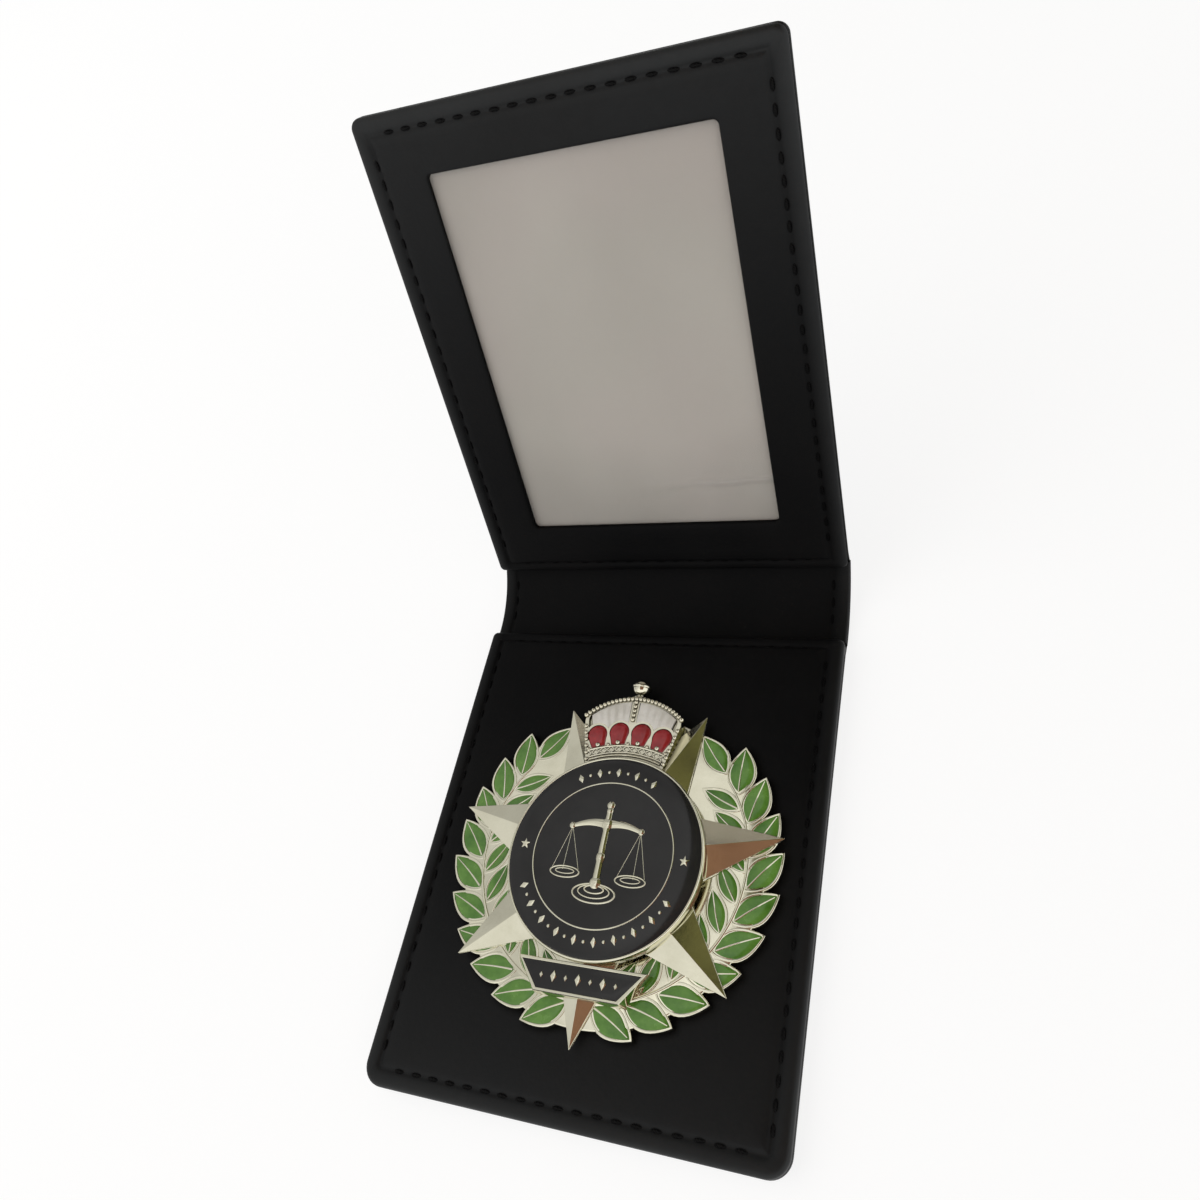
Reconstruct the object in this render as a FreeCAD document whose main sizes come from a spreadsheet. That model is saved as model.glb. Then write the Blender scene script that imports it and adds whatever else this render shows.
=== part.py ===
import FreeCAD, Part
import math
import os

import Sketcher

# A fold-over badge wallet: a padded lower panel with a layered metal badge, a narrow spine with a crease
# at each side, and an upper panel with a clear window over a sliding card.
# Frame: origin in the middle of the lower panel's underside, +X along the creases, +Y towards the spine,
# +Z up. The wallet stands open as it does on a desk.

Vector = FreeCAD.Vector

# Lengths in millimetres, angles in degrees, counts plain.
SIZES = {
    # leather panels
    "wallet_width": 80.0,
    "base_length": 96.0,
    "lid_length": 98.5,
    "base_corner_radius": 4.0,
    "lid_corner_radius": 2.0,
    "hinge_corner_radius": 1.2,
    "edge_roll": 1.6,
    "face_edge_round": 0.8,
    "hem_width": 5.0,
    "cover_leather": 1.1,
    "face_leather": 1.1,
    "lining_leather": 1.1,
    "base_board_thick": 1.6,
    "base_pad_thick": 0.8,
    "lid_board_thick": 1.2,
    "board_fit": 0.2,
    # spine and creases
    "spine_width": 15.5,
    "spine_bow": 1.3,
    "spine_rest_angle": 20.0,
    "opening_angle": 113.0,
    "crease_gap": 0.15,
    "fold_clearance": 0.15,
    "lining_end_gap": 0.7,
    # window, film and card
    "window_side_border": 12.5,
    "window_end_border": 11.45,
    "window_corner_radius": 1.0,
    "film_thick": 0.3,
    "pocket_gap": 0.6,
    "card_thick": 0.4,
    "card_lift": 0.1,
    "card_play": 0.6,
    "card_inset": 0.3,
    "card_corner_radius": 3.0,
    # seams
    "seam_margin": 3.2,
    "hinge_seam_margin": 2.4,
    "groove_width": 0.8,
    "groove_depth": 0.35,
    "stitch_pitch": 3.6,
    "stitch_ramp": 0.6,
    "thread_width": 0.5,
    "thread_height": 0.45,
    "thread_web": 0.15,
    # badge: place and back plate
    "badge_shift": 0.8,
    "badge_drop": 2.1,
    "badge_border": 3.4,
    "plate_thick": 1.8,
    "plate_lap": 3.2,
    "wreath_rise": 1.0,
    "leaf_count": 10,
    "leaf_length": 9.0,
    "leaf_width": 4.7,
    "leaf_tilt_angle": 33.0,
    "leaf_first_angle": -84.8,
    "leaf_last_angle": 32.0,
    "leaf_border": 0.6,
    "inner_leaf_count": 9,
    "inner_leaf_length": 8.2,
    "inner_leaf_width": 3.3,
    "inner_first_tilt_angle": 50.0,
    "inner_last_tilt_angle": 40.0,
    "end_leaf_width": 4.2,
    "end_leaf_tilt_angle": -4.0,
    "stem_width": 0.9,
    "cell_depth": 0.5,
    "enamel_sink": 0.06,
    # badge: star
    "star_overhang": 0.3,
    "star_points": 7,
    "star_notch_radius": 16.3,
    "star_edge": 0.5,
    "star_rise": 3.6,
    # badge: medallion
    "disc_radius": 19.5,
    "disc_fit": 0.1,
    "disc_seat": 1.4,
    "disc_height": 2.3,
    "bezel_width": 0.5,
    "bezel_round": 0.3,
    "recess_depth": 0.8,
    "enamel_depth": 0.5,
    "ring_radius": 13.9,
    "ring_line": 0.5,
    "dome_rise": 0.9,
    "dome_fit": 0.1,
    "peg_radius": 1.2,
    "peg_spacing": 18.0,
    "peg_fit": 0.1,
    "peg_floor": 0.3,
    # badge: balance relief on the medallion
    "column_width": 1.5,
    "column_top": 9.4,
    "column_foot": 7.0,
    "beam_height": 5.6,
    "beam_span": 14.0,
    "beam_width": 1.2,
    "beam_sag": 1.2,
    "knob_radius": 1.0,
    "pan_radius": 2.7,
    "pan_drop": 8.6,
    "hanger_width": 0.35,
    "foot_width": 8.4,
    "foot_height": 1.3,
    # badge: crest
    "crest_thick": 2.8,
    "crest_band": 2.4,
    "crest_foot_width": 15.8,
    "crest_width": 21.0,
    "crest_shoulder": 28.2,
    "crest_shoulder_round": 2.4,
    "crest_top": 32.5,
    "crest_rim": 0.8,
    "crest_rib": 1.6,
    "petal_count": 4,
    "petal_step_angle": 10.6,
    "petal_radius": 2.1,
    "petal_orbit": 25.2,
    "petal_foot": 1.4,
    "petal_border": 0.5,
    "finial_radius": 1.9,
    "finial_height": 35.5,
    "finial_stem_radius": 0.8,
    "collar_radius": 1.3,
    "collar_thick": 1.6,
    "crest_peg_radius": 0.9,
    "crest_peg_height": 22.4,
    # badge: bar
    "bar_top_width": 25.0,
    "bar_bottom_width": 16.6,
    "bar_height": 5.8,
    "bar_thick": 2.9,
    "bar_border": 0.6,
    "bar_cell_depth": 0.4,
    # badge: fixings
    "post_inset": 8.3,
    "post_radius": 1.5,
    "post_fit": 0.1,
    "washer_radius": 4.5,
    "washer_thick": 0.4,
    "washer_room": 0.5,
    "nut_radius": 3.2,
    "nut_thick": 1.1,
    # every cut runs this far past what it cuts
    "overrun": 1.0,
}

# Edges are chosen by where they lie, within this distance, from a few points on each.
TOLERANCE = 1e-4
EDGE_SAMPLES = 5
QUARTER_TURN = 90

doc = FreeCAD.newDocument("badge_wallet")
sheet = doc.addObject("Spreadsheet::Sheet", "sizes")
for row, (alias, value) in enumerate(SIZES.items(), start=1):
    sheet.set("A%d" % row, alias)
    sheet.set("B%d" % row, str(value))
    sheet.setAlias("B%d" % row, alias)
doc.recompute()


def number(expression):
    """The present value of an expression in the sheet's sizes."""
    return float(sheet.evalExpression(expression))


def size(alias):
    """One size from the sheet, for the shapes that are worked out in code."""
    return float(sheet.get(alias))


# Heights and places that several pieces share, as expressions in the sheet's sizes.
HALF_WIDTH = "sizes.wallet_width / 2"
SETBACK = "(sizes.cover_leather / 2 + sizes.lining_leather + sizes.fold_clearance)"
LID_TILT = "(180 - sizes.opening_angle)"
PLATE_TOP = "sizes.plate_thick"
DISC_FLOOR = "(sizes.plate_thick + sizes.disc_seat)"
DISC_TOP = "(%s + sizes.disc_height)" % DISC_FLOOR
RECESS_FLOOR = "(%s - sizes.recess_depth)" % DISC_TOP
RECESS_RADIUS = "(sizes.disc_radius - sizes.bezel_width)"
LEAF_TIP = "(sizes.wallet_width / 2 - sizes.seam_margin - sizes.badge_border - sizes.leaf_border)"
STAR_TIP = "(%s + sizes.leaf_border + sizes.star_overhang)" % LEAF_TIP
LEAF_RISE = "(sizes.leaf_length * sin(sizes.leaf_tilt_angle))"
LEAF_RUN = "(sizes.leaf_length * cos(sizes.leaf_tilt_angle))"
STEM_RADIUS = "(sqrt(%s ^ 2 - %s ^ 2) - %s)" % (LEAF_TIP, LEAF_RUN, LEAF_RISE)
PLATE_RADIUS = "(%s + sizes.plate_lap)" % STEM_RADIUS
POST_REACH = "(%s - sizes.post_inset)" % PLATE_RADIUS
BADGE_PLACE = (
    "sizes.badge_shift",
    "-sizes.badge_drop",
    "sizes.cover_leather + sizes.base_board_thick + sizes.base_pad_thick + sizes.face_leather",
)

# The two panels differ only in these sizes. Each is drawn flat in its own frame: the crease lies on the
# x axis, y runs to the free edge and z from the outside to the inside.
BASE = {
    "name": "base",
    "length": "sizes.base_length",
    "corner": "sizes.base_corner_radius",
    "board": "sizes.base_board_thick",
    "hem": "sizes.base_pad_thick",
    "hem_open": False,
}
LID = {
    "name": "lid",
    "length": "sizes.lid_length",
    "corner": "sizes.lid_corner_radius",
    "board": "sizes.lid_board_thick",
    "hem": "(sizes.pocket_gap + sizes.film_thick)",
    "hem_open": True,
}


def free_edge(panel):
    return "(%s + %s)" % (SETBACK, panel["length"])


def face_floor(panel):
    return "(sizes.cover_leather + %s)" % panel["board"]


def face_top(panel):
    return "(%s + %s + sizes.face_leather)" % (face_floor(panel), panel["hem"])


# Sketch helpers

def new_body(label):
    body = doc.addObject("PartDesign::Body", label)
    body.Label = label
    return body


def new_sketch(body, plane, height):
    sketch = body.newObject("Sketcher::SketchObject", body.Name + "_sketch")
    support = [feature for feature in body.Origin.OriginFeatures if feature.Role == plane]
    sketch.AttachmentSupport = (support[0], "")
    sketch.MapMode = "FlatFace"
    sketch.setExpression("AttachmentOffset.Base.z", height)
    return sketch


def pin(sketch, kind, line, end, expression):
    """Hold one coordinate of a sketch point at an expression."""
    value = number(expression)
    if value == 0:
        axis = -2 if kind == "DistanceX" else -1
        sketch.addConstraint(Sketcher.Constraint("PointOnObject", line, end, axis))
    elif value > 0:
        held = sketch.addConstraint(Sketcher.Constraint(kind, -1, 1, line, end, value))
        sketch.setExpression("Constraints[%d]" % held, expression)
    else:
        held = sketch.addConstraint(Sketcher.Constraint(kind, line, end, -1, 1, -value))
        sketch.setExpression("Constraints[%d]" % held, "-(%s)" % expression)


def outline(sketch, points):
    """A closed outline through points, each a pair of expressions."""
    first = sketch.GeometryCount
    count = len(points)
    places = [Vector(number(x), number(y), 0) for x, y in points]
    for i, place in enumerate(places):
        sketch.addGeometry(Part.LineSegment(place, places[(i + 1) % count]), False)
    for i in range(count):
        joined = Sketcher.Constraint("Coincident", first + i, 2, first + (i + 1) % count, 1)
        sketch.addConstraint(joined)
    for i, (x, y) in enumerate(points):
        pin(sketch, "DistanceX", first + i, 1, x)
        pin(sketch, "DistanceY", first + i, 1, y)


def ring(sketch, centre, radius):
    """A circle about a pair of expressions."""
    place = Vector(number(centre[0]), number(centre[1]), 0)
    drawn = sketch.addGeometry(Part.Circle(place, Vector(0, 0, 1), number(radius)), False)
    pin(sketch, "DistanceX", drawn, 3, centre[0])
    pin(sketch, "DistanceY", drawn, 3, centre[1])
    held = sketch.addConstraint(Sketcher.Constraint("Radius", drawn, number(radius)))
    sketch.setExpression("Constraints[%d]" % held, radius)


def rectangle(left, right, low, high):
    return [(left, low), (right, low), (right, high), (left, high)]


def draw(sketch, outlines, rings):
    for points in outlines:
        outline(sketch, points)
    for centre, radius in rings:
        ring(sketch, centre, radius)


# Feature helpers

def pad(body, height, length, outlines=(), rings=(), plane="XY_Plane", symmetric=False):
    sketch = new_sketch(body, plane, height)
    draw(sketch, outlines, rings)
    feature = body.newObject("PartDesign::Pad", body.Name + "_pad")
    feature.Profile = sketch
    feature.setExpression("Length", length)
    if symmetric:
        feature.SideType = "Symmetric"
    doc.recompute()
    return feature


def pocket(body, height, depth, outlines=(), rings=(), plane="XY_Plane", upward=False, symmetric=False):
    before = body.Shape.Volume
    sketch = new_sketch(body, plane, height)
    draw(sketch, outlines, rings)
    feature = body.newObject("PartDesign::Pocket", body.Name + "_pocket")
    feature.Profile = sketch
    feature.setExpression("Length", depth)
    feature.Reversed = upward
    if symmetric:
        feature.SideType = "Symmetric"
    doc.recompute()
    if not body.Shape.Volume < before:
        raise RuntimeError("a pocket of %s cuts nothing" % body.Label)
    return feature


def near(value, expression):
    """True where a coordinate lies at an expression, within the modelling tolerance."""
    return math.isclose(value, number(expression), abs_tol=TOLERANCE)


def edges_where(body, test):
    """Names of the edges all of whose points pass a test."""
    chosen = []
    for i, edge in enumerate(body.Shape.Edges, start=1):
        if all(test(point) for point in edge.discretize(EDGE_SAMPLES)):
            chosen.append("Edge%d" % i)
    return chosen


def upright_edges(body, x, y):
    """Edges parallel to z at x either side of the middle, and at y."""
    return edges_where(body, lambda point: near(abs(point.x), x) and near(point.y, y))


def round_edges(body, edges, radius):
    before = body.Tip
    if not edges:
        raise RuntimeError("no edge of %s to round" % body.Label)
    feature = body.newObject("PartDesign::Fillet", body.Name + "_round")
    feature.Base = (before, edges)
    feature.setExpression("Radius", radius)
    doc.recompute()
    return feature


# Placement helpers

def bind_place(piece, x, y, z):
    piece.setExpression("Placement.Base.x", x)
    piece.setExpression("Placement.Base.y", y)
    piece.setExpression("Placement.Base.z", z)


def place_base(piece):
    piece.Placement = FreeCAD.Placement(Vector(0, 0, 0), FreeCAD.Rotation(Vector(0, 0, 1), 180))
    bind_place(piece, "0", "sizes.base_length / 2 + %s" % SETBACK, "0")


def place_tilted(piece, y, z, angle):
    piece.Placement = FreeCAD.Placement(Vector(0, 0, 0), FreeCAD.Rotation(Vector(1, 0, 0), number(angle)))
    bind_place(piece, "0", y, z)
    piece.setExpression("Placement.Rotation.Angle", angle)


def place_spine(piece):
    crease = "sizes.base_length / 2 + %s" % SETBACK
    place_tilted(piece, crease, "sizes.cover_leather / 2", "sizes.spine_rest_angle")


def place_lid(piece):
    crease_y = "sizes.base_length / 2 + %s + sizes.spine_width * cos(sizes.spine_rest_angle)" % SETBACK
    crease_z = "sizes.cover_leather / 2 + sizes.spine_width * sin(sizes.spine_rest_angle)"
    y = "%s + sizes.cover_leather / 2 * sin(%s)" % (crease_y, LID_TILT)
    z = "%s - sizes.cover_leather / 2 * cos(%s)" % (crease_z, LID_TILT)
    place_tilted(piece, y, z, LID_TILT)


def place_badge(piece):
    piece.Placement = FreeCAD.Placement()
    bind_place(piece, *BADGE_PLACE)


def shaped(label, shape):
    """A piece whose form is worked out in code from the sheet's sizes."""
    piece = doc.addObject("Part::Feature", label)
    piece.Label = label
    piece.Shape = shape
    return piece


# Leather panels

def panel_cover(panel):
    """Outer leather with its edge turned up round the board, and a hollow crease for the spine."""
    body = new_body(panel["name"] + "_cover")
    free = free_edge(panel)
    top = face_floor(panel)
    wall = "sizes.cover_leather"
    pad(body, "0", top, [rectangle("-" + HALF_WIDTH, HALF_WIDTH, "0", free)])
    inner_x = "(%s - %s)" % (HALF_WIDTH, wall)
    inner_y = "(%s - %s)" % (free, wall)
    pocket(body, top, panel["board"], [rectangle("-" + inner_x, inner_x, "0", inner_y)])
    round_edges(body, upright_edges(body, inner_x, inner_y), panel["corner"] + " - " + wall)
    round_edges(body, upright_edges(body, HALF_WIDTH, free), panel["corner"])
    past = "(%s + sizes.overrun)" % HALF_WIDTH
    pocket(body, top, panel["board"], [rectangle("-" + past, past, "0", SETBACK)])
    outer_rim = edges_where(body, lambda point: near(point.z, "0") and not near(point.y, "0"))
    round_edges(body, outer_rim, "sizes.edge_roll")
    pocket(body, "0", "sizes.wallet_width + sizes.overrun", plane="YZ_Plane", symmetric=True,
           rings=[(("0", wall + " / 2"), wall + " / 2 + sizes.crease_gap")])
    return body


def panel_board(panel):
    """Stiffener board that fills the tray of the cover."""
    body = new_body(panel["name"] + "_board")
    side = "(%s - sizes.cover_leather - sizes.board_fit)" % HALF_WIDTH
    low = "(%s + sizes.face_leather + sizes.board_fit)" % SETBACK
    high = "(%s - sizes.cover_leather - sizes.board_fit)" % free_edge(panel)
    pad(body, "sizes.cover_leather", panel["board"], [rectangle("-" + side, side, low, high)])
    corner = "%s - sizes.cover_leather - sizes.board_fit" % panel["corner"]
    round_edges(body, upright_edges(body, side, high), corner)
    return body


def panel_face(panel):
    """Inner leather: a plate with a folded hem below its border, turned down at the crease side."""
    body = new_body(panel["name"] + "_face")
    free = free_edge(panel)
    floor = face_floor(panel)
    top = face_top(panel)
    pad(body, floor, "%s + sizes.face_leather" % panel["hem"],
        [rectangle("-" + HALF_WIDTH, HALF_WIDTH, SETBACK, free)])
    round_edges(body, upright_edges(body, HALF_WIDTH, free), panel["corner"])
    round_edges(body, upright_edges(body, HALF_WIDTH, SETBACK), "sizes.hinge_corner_radius")
    round_edges(body, edges_where(body, lambda point: near(point.z, top)), "sizes.face_edge_round")

    hem_side = "(%s - sizes.hem_width)" % HALF_WIDTH
    mouth = "(%s + sizes.overrun)" % HALF_WIDTH if panel["hem_open"] else hem_side
    low = "(%s + sizes.hem_width)" % SETBACK
    high = "(%s - sizes.hem_width)" % free
    pocket(body, floor, panel["hem"], [rectangle("-" + hem_side, mouth, low, high)], upward=True)

    turn_side = "(%s - sizes.cover_leather - sizes.board_fit)" % HALF_WIDTH
    turn_high = "(%s + sizes.face_leather)" % SETBACK
    pad(body, "sizes.cover_leather", panel["board"],
        [rectangle("-" + turn_side, turn_side, SETBACK, turn_high)])

    frames = []
    for sign in ("-", "+"):
        inset = "%s sizes.groove_width / 2" % sign
        side = "(%s - (sizes.seam_margin %s))" % (HALF_WIDTH, inset)
        near_crease = "(%s + sizes.hinge_seam_margin %s)" % (SETBACK, inset)
        near_free = "(%s - (sizes.seam_margin %s))" % (free, inset)
        frames.append(rectangle("-" + side, side, near_crease, near_free))
    pocket(body, top, "sizes.groove_depth", frames)
    return body


def post_places():
    """The two badge posts, in the lower panel's own frame."""
    y = "(%s + sizes.base_length / 2 + sizes.badge_drop)" % SETBACK
    left = "(-sizes.badge_shift - %s)" % POST_REACH
    right = "(-sizes.badge_shift + %s)" % POST_REACH
    return [(left, y), (right, y)]


def base_pad():
    """Foam inside the hem of the lower face, clamped under the badge."""
    body = new_body("base_pad")
    side = "(%s - sizes.hem_width - sizes.board_fit)" % HALF_WIDTH
    low = "(%s + sizes.hem_width + sizes.board_fit)" % SETBACK
    high = "(%s - sizes.hem_width - sizes.board_fit)" % free_edge(BASE)
    holes = [(place, "sizes.post_radius + sizes.post_fit") for place in post_places()]
    pad(body, face_floor(BASE), BASE["hem"], [rectangle("-" + side, side, low, high)], holes)
    return body


def window_frame():
    """The window's outline in the upper panel's frame."""
    side = "(%s - sizes.window_side_border)" % HALF_WIDTH
    low = "(%s + sizes.window_end_border)" % SETBACK
    high = "(%s - sizes.window_end_border)" % free_edge(LID)
    return side, low, high


def pocket_frame():
    """The card pocket between the hems, less the card's play."""
    side = "(%s - sizes.hem_width - sizes.card_play)" % HALF_WIDTH
    low = "(%s + sizes.hem_width + sizes.card_play)" % SETBACK
    high = "(%s - sizes.hem_width - sizes.card_play)" % free_edge(LID)
    return side, low, high


def window_film():
    body = new_body("window_film")
    side, low, high = pocket_frame()
    height = "%s + sizes.pocket_gap" % face_floor(LID)
    pad(body, height, "sizes.film_thick", [rectangle("-" + side, side, low, high)])
    return body


def insert_card():
    """Blank card in the pocket between board and film, which slides out at the open side."""
    body = new_body("insert_card")
    left, low, high = pocket_frame()
    right = "(%s - sizes.card_inset)" % HALF_WIDTH
    height = "%s + sizes.card_lift" % face_floor(LID)
    pad(body, height, "sizes.card_thick", [rectangle("-" + left, right, low, high)])
    corners = []
    for x in ("-" + left, right):
        for y in (low, high):
            corners += edges_where(body, lambda point: near(point.x, x) and near(point.y, y))
    round_edges(body, corners, "sizes.card_corner_radius")
    return body


# Spine

def spine_arc():
    """Radius and half angle of the spine's middle surface, which bows outwards between the creases."""
    chord = size("spine_width")
    bow = size("spine_bow")
    radius = (chord * chord / 4 + bow * bow) / (2 * bow)
    return radius, math.asin(chord / 2 / radius)


def spine_point(along, inward):
    """A point of the spine in its own frame: angle from the middle of the bow, and distance inwards."""
    radius, half_angle = spine_arc()
    reach = radius - inward
    y = size("spine_width") / 2 + reach * math.sin(along)
    z = radius * math.cos(half_angle) - reach * math.cos(along)
    return Vector(0, y, z)


def spine_band(outer, inner, half_angle, rounded):
    """A bowed strip of leather between two depths, with round or square ends."""
    def arc(depth, start, end):
        points = [spine_point(start, depth), spine_point(0, depth), spine_point(end, depth)]
        return Part.Arc(*points).toShape()

    def end_cap(angle, outward, first, last):
        if not rounded:
            return Part.LineSegment(spine_point(angle, first), spine_point(angle, last)).toShape()
        tangent = Vector(0, math.cos(angle), math.sin(angle)) * outward
        crown = spine_point(angle, (outer + inner) / 2) + tangent * (abs(inner - outer) / 2)
        return Part.Arc(spine_point(angle, first), crown, spine_point(angle, last)).toShape()

    edges = [
        arc(outer, -half_angle, half_angle),
        end_cap(half_angle, 1, outer, inner),
        arc(inner, half_angle, -half_angle),
        end_cap(-half_angle, -1, inner, outer),
    ]
    face = Part.Face(Part.Wire(edges))
    width = size("wallet_width")
    face.translate(Vector(-width / 2, 0, 0))
    return face.extrude(Vector(width, 0, 0))


def spine_cover():
    half = size("cover_leather") / 2
    return shaped("spine_cover", spine_band(-half, half, spine_arc()[1], True))


def lining_depths():
    outer = size("cover_leather") / 2
    return outer, outer + size("lining_leather")


def lining_half_angle():
    radius, half_angle = spine_arc()
    return half_angle - size("lining_end_gap") / radius


def spine_lining():
    outer, inner = lining_depths()
    return shaped("spine_lining", spine_band(outer, inner, lining_half_angle(), False))


# Stitching: each run is one thread that lies on the leather and dips into it between stitches.

def thread_profile(length):
    """Points of a run of stitches and of its bed: distance along it and height above the leather."""
    pitch = size("stitch_pitch")
    ramp = size("stitch_ramp")
    web = size("thread_web")
    crown = size("thread_height")
    count = int(length / pitch)
    start = (length - count * pitch) / 2
    profile = [(start, 0)]
    for i in range(count):
        at = start + i * pitch
        profile += [(at, web), (at + ramp, crown), (at + pitch - ramp, crown)]
    profile += [(start + count * pitch, web), (start + count * pitch, 0)]
    bed = [(start + i * pitch, 0) for i in range(count - 1, 0, -1)]
    return profile, bed


def thread_run(points, sideways):
    """A thread through the points of its profile, given its width along a direction."""
    face = Part.Face(Part.makePolygon(points + points[:1]))
    width = size("thread_width")
    face.translate(sideways * (-width / 2))
    return face.extrude(sideways * width)


def straight_run(start, heading, length, height):
    lift = Vector(0, 0, 1)
    bed = Vector(start[0], start[1], height)
    profile = thread_profile(length)[0]
    points = [bed + heading * along + lift * up for along, up in profile]
    return thread_run(points, heading.cross(lift))


def panel_stitching(panel, sides):
    """Thread in the groove of a face, along the free edge, the crease and the named sides."""
    margin = size("seam_margin")
    half = size("wallet_width") / 2 - margin
    low = number(SETBACK) + size("hinge_seam_margin")
    high = number(free_edge(panel)) - margin
    bed = number(face_top(panel)) - size("groove_depth")
    corner = size("stitch_pitch") / 2
    across = 2 * (half - corner)
    up = high - low - 2 * corner
    runs = [straight_run((corner - half, y), Vector(1, 0, 0), across, bed) for y in (low, high)]
    runs += [straight_run((side * half, low + corner), Vector(0, 1, 0), up, bed) for side in sides]
    return shaped(panel["name"] + "_stitching", Part.makeCompound(runs))


def spine_stitching():
    """A short run across each end of the spine's lining."""
    depth = lining_depths()[1]
    reach = spine_arc()[0] - depth
    half = lining_half_angle() * reach
    profile, bed = thread_profile(2 * half)
    runs = []
    for side in (-1, 1):
        x = side * (size("wallet_width") / 2 - size("seam_margin"))
        points = [spine_point((along - half) / reach, depth + up) for along, up in profile + bed]
        points = [point + Vector(x, 0, 0) for point in points]
        runs.append(thread_run(points, Vector(1, 0, 0)))
    return shaped("spine_stitching", Part.makeCompound(runs))


# Badge, drawn about the middle of the medallion with z up from the leather

def polar(radius, angle, height=0.0):
    turn = math.radians(angle)
    return Vector(radius * math.cos(turn), radius * math.sin(turn), height)


def prism(points, low, high):
    face = Part.Face(Part.makePolygon(points + points[:1]))
    face.translate(Vector(0, 0, low))
    return face.extrude(Vector(0, 0, high - low))


def leaf(start, heading, length, width, low, high):
    """A pointed leaf from its foot along a heading, widest below its middle."""
    outline_shares = ((0.09, 0.45), (0.26, 0.86), (0.46, 1), (0.68, 0.8), (0.87, 0.38))
    along = polar(1, heading)
    across = Vector(-along.y, along.x, 0) * (width / 2)
    left = [start + along * (length * run) + across * spread for run, spread in outline_shares]
    right = [start + along * (length * run) - across * spread for run, spread in reversed(outline_shares)]
    return prism([start] + left + [start + along * length] + right, low, high)


def leaf_places():
    """Angle, foot radius, lean from the stem, length and width of each leaf of one branch."""
    first = size("leaf_first_angle")
    outer = int(size("leaf_count"))
    inner = int(size("inner_leaf_count"))
    step = (size("leaf_last_angle") - first) / (outer - 1)
    stem = number(STEM_RADIUS)
    lean = size("inner_first_tilt_angle")
    lean_step = (size("inner_last_tilt_angle") - lean) / (inner - 1)
    inner_share = 0.5
    end_share = 0.8
    places = []
    for i in range(outer):
        places.append((first + i * step, stem, -size("leaf_tilt_angle"),
                       size("leaf_length"), size("leaf_width")))
    for i in range(inner):
        places.append((first + (i + inner_share) * step, stem - size("stem_width"), lean + i * lean_step,
                       size("inner_leaf_length"), size("inner_leaf_width")))
    places.append((size("leaf_last_angle") + end_share * step, stem, size("end_leaf_tilt_angle"),
                   size("leaf_length"), size("end_leaf_width")))
    return places


def wreath_leaves(grow, low, high):
    """All leaves of the two branches, grown by a border: two rows on each and one leaf at its end."""
    rise = Vector(0, size("wreath_rise"), 0)
    leaves = []
    for angle, radius, lean, length, width in leaf_places():
        heading = angle + QUARTER_TURN + lean
        start = polar(radius, angle) + rise - polar(grow, heading)
        grown = leaf(start, heading, length + 2 * grow, width + 2 * grow, low, high)
        leaves += [grown, grown.mirror(Vector(0, 0, 0), Vector(1, 0, 0))]
    return leaves


def peg_places():
    half = size("peg_spacing") / 2
    return [Vector(-half, 0, 0), Vector(half, 0, 0)]


def wreath_plate():
    """Back plate: a disc with the leaves of a laurel wreath, a sunk cell in each leaf and peg holes."""
    thick = size("plate_thick")
    over = size("overrun")
    plate = Part.makeCylinder(number(PLATE_RADIUS), thick)
    plate = plate.multiFuse(wreath_leaves(size("leaf_border"), 0, thick)).removeSplitter()
    cells = wreath_leaves(0, thick - size("cell_depth"), thick + over)
    bore = size("peg_radius") + size("peg_fit")
    holes = [Part.makeCylinder(bore, thick + 2 * over, place - Vector(0, 0, over)) for place in peg_places()]
    crest_bore = size("crest_peg_radius") + size("peg_fit")
    crest_place = Vector(0, size("crest_peg_height"), -over)
    holes.append(Part.makeCylinder(crest_bore, thick + 2 * over, crest_place))
    plate = plate.cut(Part.makeCompound(cells)).cut(Part.makeCompound(holes))
    return shaped("wreath_plate", plate)


def wreath_enamel():
    thick = size("plate_thick")
    fills = wreath_leaves(0, thick - size("cell_depth"), thick - size("enamel_sink"))
    return shaped("wreath_enamel", Part.makeCompound(fills))


def star():
    """Faceted star: a thin rim lofted to a point, with a flat seat for the medallion and its peg holes."""
    body = new_body("star")
    corners = []
    points = int(size("star_points"))
    for i in range(2 * points):
        reach = "sizes.star_notch_radius" if i % 2 else STAR_TIP
        angle = 2 * QUARTER_TURN * i / points - QUARTER_TURN
        corners.append(("%s * cos(%.9f)" % (reach, angle), "%s * sin(%.9f)" % (reach, angle)))
    pad(body, PLATE_TOP, "sizes.star_edge", [corners])
    rim = new_sketch(body, "XY_Plane", "%s + sizes.star_edge" % PLATE_TOP)
    outline(rim, corners)
    peak = new_sketch(body, "XY_Plane", "%s + sizes.star_edge + sizes.star_rise" % PLATE_TOP)
    peak.addGeometry(Part.Point(Vector(0, 0, 0)), False)
    peak.addConstraint(Sketcher.Constraint("Coincident", 0, 1, -1, 1))
    doc.recompute()
    facets = body.newObject("PartDesign::AdditiveLoft", "star_facets")
    facets.Profile = rim
    facets.Sections = [(peak, ["Vertex1"])]
    facets.Ruled = True
    doc.recompute()
    seat = "sizes.disc_radius + sizes.disc_fit"
    pocket(body, DISC_FLOOR, "sizes.star_rise", rings=[(("0", "0"), seat)], upward=True)
    pegs = [("-sizes.peg_spacing / 2", "0"), ("sizes.peg_spacing / 2", "0")]
    bore = "sizes.peg_radius + sizes.peg_fit"
    pocket(body, DISC_FLOOR, "sizes.disc_seat + sizes.overrun", rings=[(place, bore) for place in pegs])
    return body


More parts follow.
